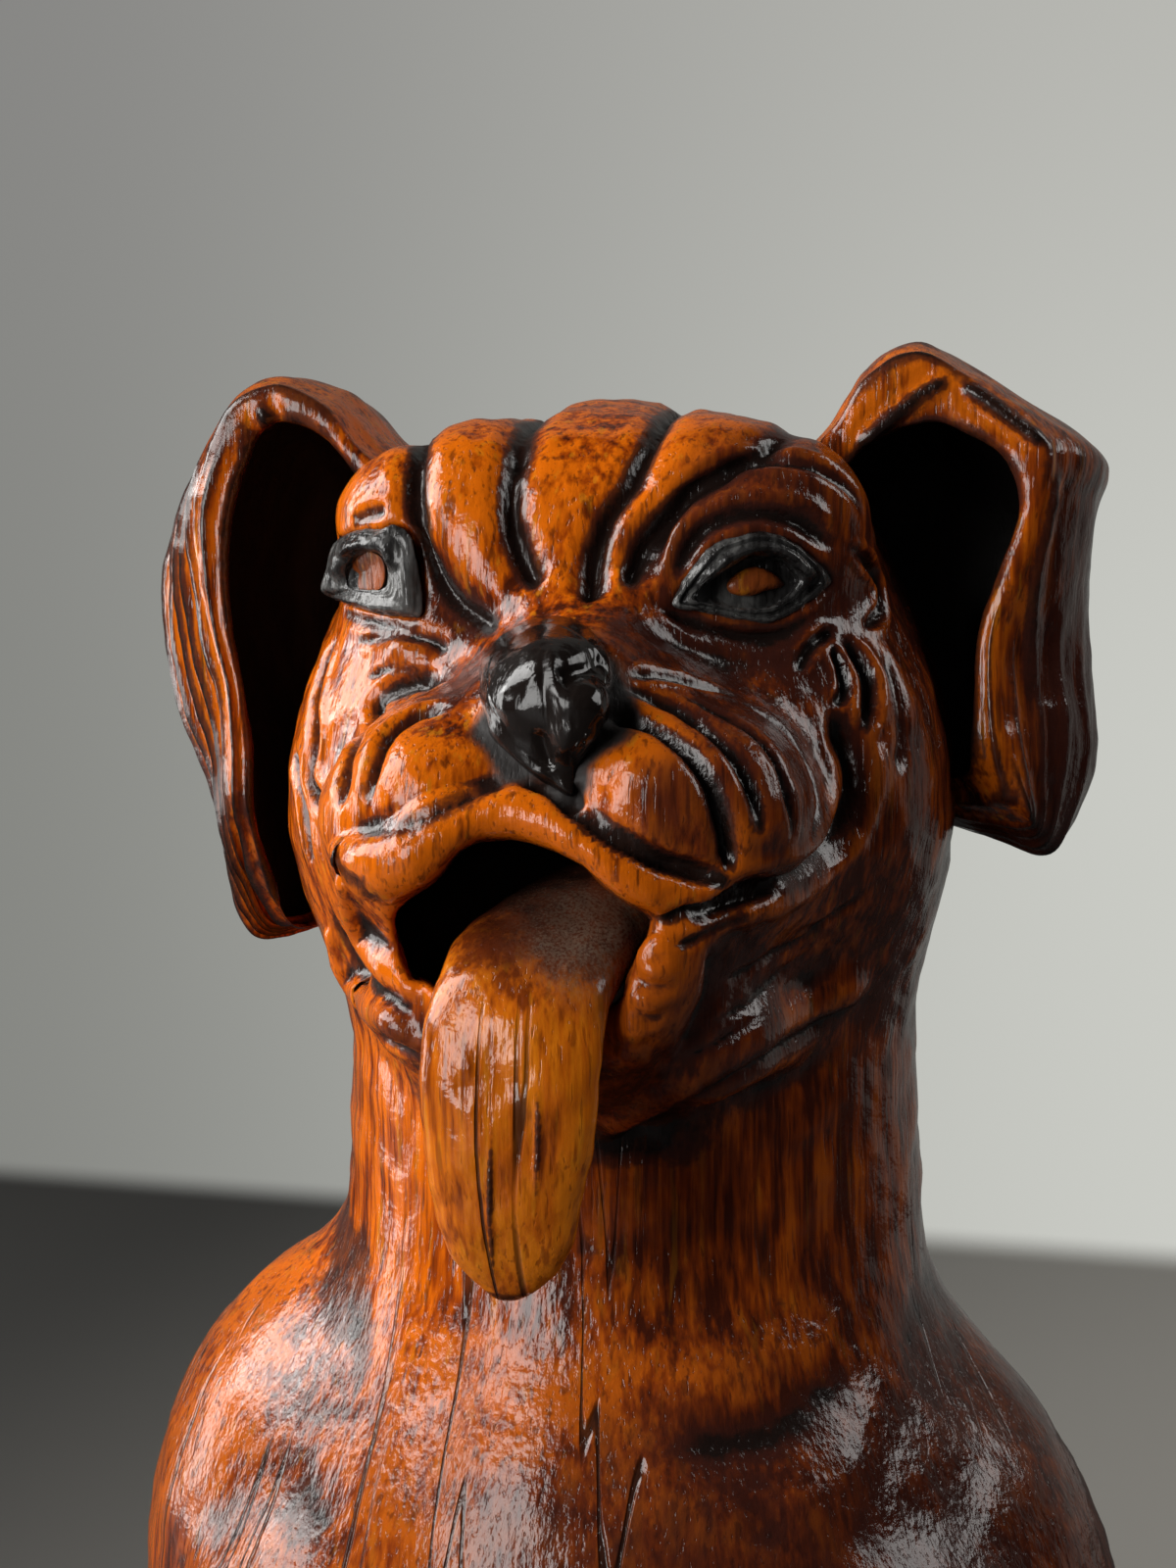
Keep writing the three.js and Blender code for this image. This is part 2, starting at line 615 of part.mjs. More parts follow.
// An eye in black: a floor with a raised lid round it, let into the face, and a hole for the iris peg.
function eyeShell(eye, frame) {
  const block = almondBlock(eye, frame, [
    [0, -EYE_SEAT_DEPTH],
    [0, 0.3],
    [-EYE_LID_WIDTH * 0.5, EYE_LID_HEIGHT],
  ]);
  const hollow = almondBlock(eye, frame, [
    [-EYE_LID_WIDTH * 1.5, -0.4],
    [-EYE_LID_WIDTH, EYE_LID_HEIGHT * 0.6],
    [-EYE_LID_WIDTH * 0.4, EYE_LID_HEIGHT * 1.5],
  ]);
  const pegHole = irisBar(frame, IRIS_PEG_RADIUS + GLUE_GAP, -EYE_SEAT_DEPTH * 0.8, 2);
  return block.subtract(hollow).subtract(pegHole);
}

function irisBar(frame, radius, from, to) {
  return bar(
    new THREE.Vector3(0, 0, from).applyMatrix4(frame),
    new THREE.Vector3(0, 0, to).applyMatrix4(frame),
    radius,
  );
}

// The iris: a low dome on a peg.
function irisPeg(frame) {
  const floor = -0.4 + GLUE_GAP;
  const profile = new THREE.Path();
  profile.moveTo(0, -EYE_SEAT_DEPTH * 0.6);
  profile.lineTo(IRIS_PEG_RADIUS, -EYE_SEAT_DEPTH * 0.6);
  profile.lineTo(IRIS_PEG_RADIUS, floor);
  profile.lineTo(IRIS_RADIUS, floor);
  profile.quadraticCurveTo(IRIS_RADIUS, floor + IRIS_HEIGHT, 0, floor + IRIS_HEIGHT);
  const geometry = new THREE.LatheGeometry(profile.getPoints(5), 16);
  geometry.rotateX(Math.PI / 2);
  geometry.applyMatrix4(frame);
  return solid(geometry);
}

function tailSeat() {
  return skinPoint(massField, new THREE.Vector3(0, 0, TAIL_SEAT_HEIGHT), new THREE.Vector3(0, 1, 0));
}

// The tail before it is cut to the rump: a tapering round bar that curls up beside the spine.
function tailBar() {
  const seat = tailSeat();
  const steps = TAIL_LINE.map(([side, up]) => {
    return seat.clone().add(new THREE.Vector3(side, TAIL_STAND_OFF, up));
  });
  const stub = seat.clone().add(new THREE.Vector3(0, -TAIL_STUB, 0));
  const curve = new THREE.CatmullRomCurve3([stub, ...steps]);
  const radii = [TAIL_RADII[0], ...TAIL_RADII];
  const count = (radii.length - 1) * 3;
  const frames = curve.computeFrenetFrames(count);
  const sections = [];
  for (let i = 0; i <= count; i++) {
    const radius = alongStations(radii, curve.getUtoTmapping(i / count));
    const ring = [];
    for (let j = 0; j < TAIL_SIDES; j++) {
      const angle = (2 * Math.PI * j) / TAIL_SIDES;
      ring.push(
        curve
          .getPointAt(i / count)
          .addScaledVector(frames.normals[i], radius * Math.cos(angle))
          .addScaledVector(frames.binormals[i], radius * Math.sin(angle)),
      );
    }
    sections.push(ring);
  }
  return loft(sections);
}

// The tail's dowel, grown by a gap on every side for its hole.
function tailDowel(gap) {
  const seat = tailSeat();
  const inner = seat.clone().sub(new THREE.Vector3(0, TAIL_DOWEL_REACH.inward + gap, 0));
  const outer = seat.clone().add(new THREE.Vector3(0, TAIL_DOWEL_REACH.outward + gap, 0));
  return bar(inner, outer, TAIL_DOWEL_RADIUS + gap);
}

const WOOD = new THREE.MeshStandardMaterial({ color: 0x6b2a10, roughness: 0.35, metalness: 0 });
const PALE_WOOD = new THREE.MeshStandardMaterial({ color: 0xa8611f, roughness: 0.35, metalness: 0 });
const BLACK_WOOD = new THREE.MeshStandardMaterial({ color: 0x14110f, roughness: 0.25, metalness: 0 });
const IRIS_WOOD = new THREE.MeshStandardMaterial({ color: 0x7a3414, roughness: 0.3, metalness: 0 });
const DOWEL_WOOD = new THREE.MeshStandardMaterial({ color: 0xc9a26b, roughness: 0.7, metalness: 0 });

const dog = new THREE.Group();

function add(name, made, material) {
  const mesh = new THREE.Mesh(geometryOf(made), material);
  mesh.name = name;
  dog.add(mesh);
}

const grownLog = logSkin(GLUE_GAP).subtract(mouthHollow(GLUE_GAP));
let log = logSkin(0).subtract(mouthHollow(0));

for (const [name, ear] of Object.entries(EARS)) {
  const hood = earBlock(ear).subtract(earHollow(ear)).subtract(grownLog);
  let leaf = hood.decompose().sort((a, b) => b.volume() - a.volume())[0];
  for (const [place, height] of Object.entries(EAR_DOWEL_HEIGHTS)) {
    const hole = earDowel(ear, height, EAR_DOWEL_RADIUS + GLUE_GAP, EAR_DOWEL_LENGTH + 2 * GLUE_GAP);
    leaf = leaf.subtract(hole);
    log = log.subtract(hole);
    add(`${name}_${place}_dowel`, earDowel(ear, height, EAR_DOWEL_RADIUS, EAR_DOWEL_LENGTH), DOWEL_WOOD);
  }
  add(name, leaf, WOOD);
}

const tongueHole = tongueDowel(TONGUE_DOWEL_RADIUS + GLUE_GAP, TONGUE_DOWEL_LENGTH + GLUE_GAP);
log = log.subtract(tongueHole);
add("tongue", tongueBand().subtract(grownLog).subtract(tongueHole), PALE_WOOD);
add("tongue_dowel", tongueDowel(TONGUE_DOWEL_RADIUS, TONGUE_DOWEL_LENGTH), DOWEL_WOOD);

log = log.subtract(noseSpigot(SPIGOT_RADIUS + GLUE_GAP, SPIGOT_LENGTH + GLUE_GAP));
const nose = nostrils().reduce((shape, dent) => shape.subtract(dent), noseBall().subtract(grownLog));
add("nose", nose.add(noseSpigot(SPIGOT_RADIUS, SPIGOT_LENGTH)), BLACK_WOOD);

for (const [name, eye] of Object.entries(EYES)) {
  const frame = eyeFrame(eye);
  log = log.subtract(almondBlock(eye, frame, [[GLUE_GAP, -EYE_SEAT_DEPTH - GLUE_GAP], [GLUE_GAP, 8]]));
  add(name, eyeShell(eye, frame), BLACK_WOOD);
  add(`${name}_iris`, irisPeg(frame), IRIS_WOOD);
}

const tailHole = tailDowel(GLUE_GAP);
log = log.subtract(tailHole);
add("tail", tailBar().subtract(grownLog).subtract(tailHole), WOOD);
add("tail_dowel", tailDowel(0), DOWEL_WOOD);

add("log", log, WOOD);

// The origin is the centre of the whole dog's base.
const box = new THREE.Box3().setFromObject(dog);
const middle = box.getCenter(new THREE.Vector3());
dog.children.forEach((piece) => piece.geometry.translate(-middle.x, -middle.y, -box.min.z));

export default dog;
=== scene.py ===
"""A seated dog carved in stained and lacquered hardwood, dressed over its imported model.

The log is built up from round masses, cut with a chisel's strokes and then stained. Places on
the face are read off the photograph and carried along the camera's rays to the wood. Shapes are
worked in millimetres and turned into Blender's metres when a piece is finished.
"""

import logging
import math
from collections.abc import Callable, Sequence
from dataclasses import dataclass, field, replace
from enum import Enum

import bmesh
import bpy
import numpy as np
from mathutils import Matrix, Vector
from mathutils.bvhtree import BVHTree


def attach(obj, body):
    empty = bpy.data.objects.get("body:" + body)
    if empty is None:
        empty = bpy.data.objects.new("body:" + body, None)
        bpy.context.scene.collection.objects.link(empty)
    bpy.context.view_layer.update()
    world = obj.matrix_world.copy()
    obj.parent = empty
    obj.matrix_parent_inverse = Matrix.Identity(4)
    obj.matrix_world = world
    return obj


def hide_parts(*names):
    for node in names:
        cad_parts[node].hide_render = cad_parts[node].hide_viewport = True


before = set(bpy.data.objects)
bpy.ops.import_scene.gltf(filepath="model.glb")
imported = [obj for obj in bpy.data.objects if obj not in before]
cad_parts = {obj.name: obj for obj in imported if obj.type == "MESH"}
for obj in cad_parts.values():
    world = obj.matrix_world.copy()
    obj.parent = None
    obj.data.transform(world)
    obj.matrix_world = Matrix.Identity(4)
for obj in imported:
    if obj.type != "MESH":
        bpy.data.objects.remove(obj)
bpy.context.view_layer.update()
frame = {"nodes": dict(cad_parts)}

# Kinds of values
Colour = tuple[float, float, float]
Point = tuple[float, float, float]
Array = np.ndarray
Material = bpy.types.Material
Socket = bpy.types.NodeSocket

# A millimetre in metres, the dog's two sides, and the middle of its head in millimetres
MM = 0.001
LEFT, RIGHT = 1, -1
HEAD = np.array([-0.5, -8.0, 188.0])

# The body that the pieces hang from
BODY = "root"

# How finely outlines, rings, tables and curves are worked out
OPENING_POINTS = 64
EYE_POINTS = 96
RING_POINTS = 192
NOSE_POINTS = 240
TABLE_STEPS = 400
CURVE_STEPS = 600
SIDE_STEPS = 24

# Depths from the camera in millimetres: where its rays are searched, and the mouth's floor
SEARCHED_DEPTHS = (150, 250)
MOUTH_DEPTH = 212.0

# A distance given to places too far off to matter, and one too small to divide by, in millimetres
FAR_OFF = 99.0
TINY = 1e-9

# How far a cutting block reaches out before its floor, in millimetres
BLOCK_REACH = 50.0

log = logging.getLogger("dog")


def head(x: float, y: float, z: float) -> Array:
    """Return a point given from the head's centre, in millimetres."""
    return HEAD + np.array([x, y, z])


def link(name: str, data: bpy.types.ID) -> bpy.types.Object:
    """Put data into the scene as an object."""
    thing = bpy.data.objects.new(name, data)
    bpy.context.scene.collection.objects.link(thing)
    return thing


def mesh_from(name: str, shape: bmesh.types.BMesh) -> bpy.types.Mesh:
    """Turn a shape into a mesh and free the shape."""
    mesh = bpy.data.meshes.new(name)
    shape.to_mesh(mesh)
    shape.free()
    return mesh


# Shader sums


class Value:
    """A shader socket that holds a number and can be used in sums."""

    def __init__(self, tree: "Shader", socket: Socket) -> None:
        """Keep the socket and the tree it belongs to."""
        self.tree = tree
        self.socket = socket

    def sum(self, operation: str, *others: "Value | float") -> "Value":
        """Add one Math node.

        Args:
            operation: The Math node's operation.
            others: The values after this one.

        Returns:
            The node's result.
        """
        values = {index + 1: other for index, other in enumerate(others)}
        node = self.tree.node("ShaderNodeMath", {"operation": operation}, {0: self, **values})
        return self.tree.value(node)

    def __add__(self, other: "Value | float") -> "Value":
        """Add."""
        return self.sum("ADD", other)

    __radd__ = __add__

    def __mul__(self, other: "Value | float") -> "Value":
        """Multiply."""
        return self.sum("MULTIPLY", other)

    __rmul__ = __mul__

    def __sub__(self, other: "Value | float") -> "Value":
        """Subtract."""
        return self.sum("SUBTRACT", other)

    def __rsub__(self, other: float) -> "Value":
        """Subtract this from a number."""
        return self * -1.0 + other

    def __truediv__(self, other: "Value | float") -> "Value":
        """Divide."""
        return self.sum("DIVIDE", other)

    def clamp(self) -> "Value":
        """Return this kept between 0 and 1."""
        return self.sum("MINIMUM", 1.0).sum("MAXIMUM", 0.0)

    def step(self, low: float, high: float) -> "Value":
        """Return a smooth step from 0 at low to 1 at high."""
        node = self.tree.node(
            "ShaderNodeMapRange",
            {"interpolation_type": "SMOOTHSTEP"},
            {"Value": self, "From Min": low, "From Max": high},
        )
        return self.tree.value(node)


class Shader:
    """The node tree of one material or world."""

    def __init__(self, owner: Material | bpy.types.World) -> None:
        """Empty the owner's node tree."""
        owner.use_nodes = True
        self.tree = owner.node_tree
        self.tree.nodes.clear()

    def node(self, kind: str, settings: dict | None = None, inputs: dict | None = None) -> bpy.types.Node:
        """Add a node.

        Args:
            kind: The node's type.
            settings: The node's own settings, set first. A ramp's stops are under "stops".
            inputs: Values or links for its sockets, by name or number.

        Returns:
            The node.
        """
        made = self.tree.nodes.new(kind)
        for name, setting in (settings or {}).items():
            if name == "stops":
                self._set_stops(made.color_ramp, setting)
            else:
                setattr(made, name, setting)
        for name, given in (inputs or {}).items():
            source = getattr(given, "socket", given)
            if isinstance(source, Socket):
                self.tree.links.new(source, made.inputs[name])
            else:
                made.inputs[name].default_value = source
        return made

    @staticmethod
    def _set_stops(ramp: bpy.types.ColorRamp, stops: list[tuple[float, Colour]]) -> None:
        """Give a ramp its stops."""
        while len(ramp.elements) < len(stops):
            ramp.elements.new(0.5)
        for element, (place, colour) in zip(ramp.elements, stops):
            element.position = place
            element.color = (*colour, 1.0)

    def value(self, node: bpy.types.Node, output: int | str = 0) -> Value:
        """Return a node's output as a value."""
        return Value(self, node.outputs[output])

    def attribute(self, name: str) -> Value:
        """Return a number that the mesh stores at its points."""
        return self.value(self.node("ShaderNodeAttribute", {"attribute_name": name}), "Fac")

    def place(self) -> Socket:
        """Return the object's own coordinates in millimetres."""
        coordinates = self.node("ShaderNodeTexCoord").outputs["Object"]
        return self.vector("SCALE", coordinates, Scale=1 / MM)

    def vector(self, operation: str, *vectors: Socket | Point, **inputs: float) -> Socket:
        """Add a Vector Math node and return its vector."""
        numbered = dict(enumerate(vectors))
        return self.node("ShaderNodeVectorMath", {"operation": operation}, {**numbered, **inputs}).outputs[0]

    def noise(self, place: Socket, scale: float, detail: float = 2.0, warp: float = 0.0) -> Value:
        """Return a noise between about 0 and 1 over a place."""
        inputs = {"Vector": place, "Scale": scale, "Detail": detail, "Distortion": warp}
        return self.value(self.node("ShaderNodeTexNoise", None, inputs))

    def mix(self, factor: Value | float, first: Socket | Colour, second: Socket | Colour) -> Socket:
        """Return a mix of two colours.

        Args:
            factor: From 0 for the first colour to 1 for the second.
            first: A colour, or a socket that gives one.
            second: The same.

        Returns:
            The mixed colour.
        """
        made = self.node("ShaderNodeMix", {"data_type": "RGBA", "clamp_factor": True})
        for name, given in (("Factor_Float", factor), ("A_Color", first), ("B_Color", second)):
            socket = next(one for one in made.inputs if one.identifier == name)
            source = getattr(given, "socket", given)
            if isinstance(source, Socket):
                self.tree.links.new(source, socket)
            else:
                socket.default_value = source if name == "Factor_Float" else (*source, 1.0)
        return next(one for one in made.outputs if one.identifier == "Result_Color")

    def ramp(self, value: Value, stops: list) -> Socket:
        """Return a colour for a value."""
        return self.node("ShaderNodeValToRGB", {"stops": stops}, {"Fac": value}).outputs["Color"]

    def metres(self) -> bpy.types.Node:
        """Return the object's own coordinates in metres, as one output for each axis."""
        coordinates = self.node("ShaderNodeTexCoord").outputs["Object"]
        return self.node("ShaderNodeSeparateXYZ", None, {0: coordinates})

    def output(self, node: bpy.types.Node, kind: str = "Material") -> None:
        """Connect a node to the output of a material or world."""
        self.node(f"ShaderNodeOutput{kind}", None, {"Surface": node.outputs[0]})


def new_material(name: str) -> tuple[Material, Shader]:
    """Return a new material and its empty node tree."""
    material = bpy.data.materials.new(name)
    return material, Shader(material)


# Finishes


class Grain:
    """The places and patterns that a lacquered finish is worked out from.

    Attributes:
        place: The object's own coordinates in millimetres.
        along: The same, drawn out along the wood's length for its streaks.
        fine: The same for its pores and fibres.
        flat: The place measured from the pith, without its height.
        distance: How far it is from the pith, in millimetres.
        mottle: Soft patches along the wood.
        speckle: Small specks.
        pores: A value that is 1 in a pore.
    """

    def __init__(self, shader: Shader, pith: tuple[float, float]) -> None:
        """Lay the patterns out round the pith."""
        self.place = shader.place()
        self.along = shader.vector("MULTIPLY", self.place, (1.0, 1.0, 0.06))
        self.fine = shader.vector("MULTIPLY", self.place, (1.0, 1.0, 0.07))
        across = shader.vector("SUBTRACT", self.place, (*pith, 0.0))
        self.flat = shader.vector("MULTIPLY", across, (1.0, 1.0, 0.0))
        length = shader.node("ShaderNodeVectorMath", {"operation": "LENGTH"}, {0: self.flat})
        self.distance = shader.value(length, "Value")
        patches = shader.vector("MULTIPLY", self.place, (1.0, 1.0, 0.14))
        self.mottle = shader.noise(patches, 0.5, 4.0, 0.3)
        self.speckle = shader.noise(self.place, 1.6, 3.0)
        self.pores = shader.noise(self.fine, 2.6, 2.0).step(0.60, 0.70)


@dataclass(frozen=True)
class LacqueredWood:
    """Hardwood with long grain under stain and wrinkled gloss lacquer, near black in the cuts, with painted
    shade laid into its colour.

    Attributes:
        name: The material's name.
        deep: The stain where it lies thickest.
        middle: The usual colour.
        bright: The colour where the stain is thin.
        pith: Where the rings' axis stands, in millimetres.
        ring: The width of a growth ring in millimetres.
        gloss: The roughness of the lacquer.
        wrinkle: How strongly the lacquer is wrinkled.
        checked: The heights in millimetres between which the checks run out.
        cave: How much rougher the lacquer is where the wood is blackened.
        fleck: The colour of pale flecks.
        maroon: The dark colour beside the cuts, partly stain and partly painted shade, and the
            colour of the painted shade.
        black: The colour in the cuts, partly stain and partly painted shade, in the checks and of
            black paint, and the black painted shade in the mouth and the ears' hollows.
        dust: The dust on the tongue.
    """

    name: str
    deep: Colour
    middle: Colour
    bright: Colour
    pith: tuple[float, float] = (4.0, 30.0)
    ring: float = 2.6
    gloss: float = 0.11
    wrinkle: float = 1.0
    checked: tuple[float, float] = (150.0, 118.0)
    cave: float = 0.5
    fleck: Colour = (0.62, 0.22, 0.010)
    maroon: Colour = (0.045, 0.012, 0.008)
    black: Colour = (0.010, 0.007, 0.006)
    dust: Colour = (0.15, 0.115, 0.08)

    def make(self) -> Material:
        """Build the material."""
        material, shader = new_material(self.name)
        grain = Grain(shader, self.pith)
        split = self._checks(shader, grain)
        specks = shader.noise(grain.place, 3.6, 5.0).step(0.25, 0.75) * 1.1
        dusty = (shader.attribute("dust") * specks).clamp()
        stained = self._stained(shader, grain)
        darkened = self._darkened(shader, grain, split, stained)
        relief = self._relief(shader, grain, split)
        wrinkles = {"Strength": 1.0, "Distance": self.wrinkle * MM, "Height": relief}
        inputs = {
            "Base Color": shader.mix(dusty, darkened, self.dust),
            "Roughness": self._roughness(shader, grain, dusty),
            "Normal": shader.node("ShaderNodeBump", None, wrinkles).outputs[0],
            "IOR": 1.43,
        }
        shader.output(shader.node("ShaderNodeBsdfPrincipled", None, inputs))
        return material

    def _stained(self, shader: Shader, grain: Grain) -> Socket:
        """Return the colour of the grain, its flecks, spots and pores under the stain, lighter on the crests
        and darkened by painted shade.
        """
        bend = shader.noise(grain.place, 0.055, 2.0) * 7.0 + shader.noise(grain.along, 0.35, 3.0) * 1.6
        ring = ((grain.distance + bend) * (2 * math.pi / self.ring)).sum("SINE") * 0.5 + 0.5
        streak = shader.noise(grain.along, 1.5, 4.0)
        cloud = shader.noise(grain.place, 0.07, 3.0, 0.6)
        # The shade channel is painted shade: it darkens the tone and turns it maroon.
        shade = shader.attribute("shade")
        layers = ((ring, 0.08), (streak, 0.50), (cloud, 0.46), (grain.mottle, 0.50))
        tone = shader.attribute("crest") * 0.16 - shade * 0.20
        for layer, weight in layers:
            tone = tone + layer * weight
        tone = tone / sum(weight for _, weight in layers)
        colour = shader.ramp(tone, [(0.385, self.deep), (0.465, self.middle), (0.555, self.bright)])
        flecks = shader.noise(shader.vector("ADD", grain.along, (31.0, 7.0, 11.0)), 0.9, 4.0).step(0.58, 0.70)
        colour = shader.mix(flecks * (1.0 - shade) * 0.5, colour, self.fleck)
        spots = shader.noise(shader.vector("ADD", grain.along, (5.0, 43.0, 17.0)), 1.3, 5.0).step(0.55, 0.68)
        colour = shader.mix(spots * 0.65, colour, self.deep)
        colour = shader.mix(grain.pores * 0.55, colour, self.deep)
        return shader.mix((shade * 0.85 + (grain.mottle - 0.5) * shade).clamp(), colour, self.maroon)

    def _darkened(self, shader: Shader, grain: Grain, split: Value, colour: Socket) -> Socket:
        """Return a colour with stain and painted shade in and beside the cuts and hollows, black in the
        checks, black paint, and black painted shade in the mouth and the ears' hollows.
        """
        edge = shader.attribute("hollow") + (grain.speckle - 0.5) * 0.45
        colour = shader.mix(edge.step(0.06, 0.42) * 0.85, colour, self.maroon)
        colour = shader.mix(edge.step(0.45, 0.90) * 0.9, colour, self.black)
        colour = shader.mix(split * 0.85, colour, self.black)
        return shader.mix(shader.attribute("black_paint_and_shade"), colour, self.black)

    def _roughness(self, shader: Shader, grain: Grain, dusty: Value) -> Value:
        """Return how rough the lacquer is."""
        rough = shader.attribute("hollow") * 0.10 + grain.speckle * 0.08 + dusty * 0.5
        return rough + shader.attribute("black_paint_and_shade") * self.cave + (self.gloss - 0.04)

    @staticmethod
    def _relief(shader: Shader, grain: Grain, split: Value) -> Value:
        """Return the height of the lacquer's wrinkles, with the pores and checks sunk in."""
        waves = (
            (grain.place, 0.42, 2.0, 0.15), (grain.place, 1.3, 3.0, 0.05), (grain.along, 1.9, 3.0, 0.055),
            (grain.fine, 2.4, 2.0, 0.028), (grain.place, 2.8, 2.0, 0.014),
        )
        relief = grain.pores * -0.02 - split * 0.2
        for place, scale, detail, height in waves:
            relief = relief + shader.noise(place, scale, detail) * height
        return relief

    def _checks(self, shader: Shader, grain: Grain) -> Value:
        """Return thin drying checks, which stand in planes through the pith.

        Args:
            shader: The material's tree.
            grain: Its places and patterns.

        Returns:
            A value that is 1 in a check.
        """
        parts = shader.node("ShaderNodeSeparateXYZ", None, {0: grain.flat})
        turn = shader.value(parts, "Y").sum("ARCTAN2", shader.value(parts, "X"))
        height = shader.value(shader.node("ShaderNodeSeparateXYZ", None, {0: grain.place}), "Z")
        axes = {"X": turn * 30.0, "Y": grain.distance * 0.03, "Z": height * 0.035}
        sheet = shader.node("ShaderNodeCombineXYZ", None, axes).outputs[0]
        line = (shader.noise(sheet, 0.55, 1.0) - 0.5).sum("ABSOLUTE").step(0.022, 0.007)
        patch = shader.noise(shader.vector("ADD", sheet, (9.0, 5.0, 3.0)), 0.3, 1.0).step(0.52, 0.60)
        return line * patch * height.step(*self.checked)


@dataclass(frozen=True)
class BareWood:
    """Plain unfinished wood, for the hidden dowels."""

    name: str = "bare dowel wood"
    pale: Colour = (0.62, 0.42, 0.24)
    dark: Colour = (0.42, 0.26, 0.13)

    def make(self) -> Material:
        """Build the material."""
        material, shader = new_material(self.name)
        grain = shader.noise(shader.vector("MULTIPLY", shader.place(), (0.3, 1.0, 1.0)), 1.6, 3.0)
        colour = shader.ramp(grain, [(0.35, self.dark), (0.65, self.pale)])
        inputs = {"Base Color": colour, "Roughness": grain * 0.2 + 0.6}
        surface = shader.node("ShaderNodeBsdfPrincipled", None, inputs)
        shader.output(surface)
        return material


# The photograph's camera


@dataclass
class PhotoCamera:
    """The camera of the photograph: level, and a little to the dog's left.

    Attributes:
        azimuth: How far round it stands from straight ahead, in degrees.
        distance: From the neck's axis, in millimetres.
        height: Of the lens above the base, in millimetres.
        slide: How far it stands to its own left of the axis, in millimetres.
        focal: The focal length in the photograph's pixels.
        frame: The photograph's width and height in pixels.
        sensor: The width given to Blender's sensor, in millimetres.
        axes: Its right, up and forward directions.
        place: Where the lens is, in millimetres.
    """

    azimuth: float = 11.0
    distance: float = 230.0
    height: float = 174.0
    slide: float = 4.7
    focal: float = 2200.0
    frame: tuple[int, int] = (1200, 1600)
    sensor: float = 36.0
    axes: Array = field(init=False)
    place: Array = field(init=False)

    def __post_init__(self) -> None:
        """Work out the camera's place and its right, up and forward axes."""
        turn = math.radians(self.azimuth)
        right = np.array([math.cos(turn), math.sin(turn), 0.0])
        forward = np.array([-math.sin(turn), math.cos(turn), 0.0])
        self.axes = np.array([right, [0.0, 0.0, 1.0], forward])
        target = np.array([0.0, HEAD[1], self.height])
        self.place = target - forward * self.distance - right * self.slide

    def ray(self, pixel: tuple[float, float]) -> Array:
        """Return the direction in which a pixel of the photograph looks."""
        right, up, forward = self.axes
        across = (pixel[0] - self.frame[0] / 2) / self.focal
        rise = (self.frame[1] / 2 - pixel[1]) / self.focal
        direction = forward + right * across + up * rise
        return direction / np.linalg.norm(direction)

    def see(self, points: Array) -> tuple[Array, Array]:
        """Return the pixels at which points are seen, and their depths in millimetres."""
        across, rise, depth = self.axes @ (points - self.place).T
        depth = np.maximum(depth, 1.0)
        pixels = np.stack([across, -rise], axis=1) / depth[:, None] * self.focal
        return pixels + np.array(self.frame) / 2, depth

    def make(self) -> bpy.types.Object:
        """Build the camera and make it the scene's own."""
        data = bpy.data.cameras.new("camera")
        data.sensor_width = self.sensor
        data.lens = self.sensor * self.focal / max(self.frame)
        data.clip_start, data.clip_end = 0.01, 20.0
        camera = link("camera", data)
        right, up, forward = self.axes
        turn = Matrix([right, up, -forward]).transposed().to_4x4()
        camera.matrix_world = Matrix.Translation(Vector(self.place * MM)) @ turn
        bpy.context.scene.camera = camera
        return camera


CAMERA = PhotoCamera()


# Masses: the smooth forms that the log is roughed out in


@dataclass(frozen=True)
class Ball:
    """An ellipsoid of wood, with its centre, its half sizes and how softly it joins the rest."""

    centre: Point
    half: Point
    blend: float = 9.0

    def distance(self, points: Array) -> Array:
        """Return how far each point lies outside it."""
        offset = points - np.array(self.centre)
        half = np.array(self.half)
        scaled = np.linalg.norm(offset / half, axis=1)
        slope = np.linalg.norm(offset / half**2, axis=1)
        return scaled * (scaled - 1) / np.maximum(slope, TINY)


@dataclass(frozen=True)
class Limb:
    """A round bar of wood that tapers from one end to the other."""

    start: Point
    end: Point
    radii: tuple[float, float]
    blend: float = 9.0

    def distance(self, points: Array) -> Array:
        """Return how far each point lies outside it."""
        start = np.array(self.start)
        along = np.array(self.end) - start
        share = np.clip((points - start) @ along / (along @ along), 0, 1)
        gap = np.linalg.norm(points - start - share[:, None] * along, axis=1)
        return gap - (self.radii[0] + (self.radii[1] - self.radii[0]) * share)


@dataclass(frozen=True)
class Roll:
    """A rounded fold of wood along a path on the form, drawn on the photograph.

    Attributes:
        path: Pixels of the photograph.
        radii: Along the path, in millimetres.
        sink: How deep its middle lies under the form, in millimetres.
        blend: How softly it joins the rest.
    """

    path: tuple
    radii: tuple
    sink: float = 1.0
    blend: float = 2.0

    def laid_on(self, form: "Form") -> "LaidRoll":
        """Return the roll laid on a form."""
        hits = form.seen_points(np.array(self.path, dtype=float))
        hits += np.array([CAMERA.ray(pixel) for pixel in self.path]) * self.sink
        count = len(self.path) * 4
        radii = curve_through(np.array(self.radii, dtype=float)[:, None], count)[:, 0]
        return LaidRoll(curve_through(hits, count), np.maximum(radii, 0.1), self.blend)


@dataclass(frozen=True)
class LaidRoll:
    """A rounded fold of wood along points in millimetres."""

    line: Array
    radii: Array
    blend: float

    def distance(self, points: Array) -> Array:
        """Return how far each point lies outside it."""
        reach = self.radii.max() + 6
        low, high = self.line.min(axis=0) - reach, self.line.max(axis=0) + reach
        near = ((points > low) & (points < high)).all(axis=1)
        out = np.full(len(points), FAR_OFF)
        close = points[near]
        best = np.full(len(close), FAR_OFF)
        for start, end, first, last in zip(self.line, self.line[1:], self.radii, self.radii[1:]):
            along = end - start
            share = np.clip((close - start) @ along / (along @ along), 0, 1)
            gap = np.linalg.norm(close - start - share[:, None] * along, axis=1)
            best = np.minimum(best, gap - first - (last - first) * share)
        out[near] = best
        return out


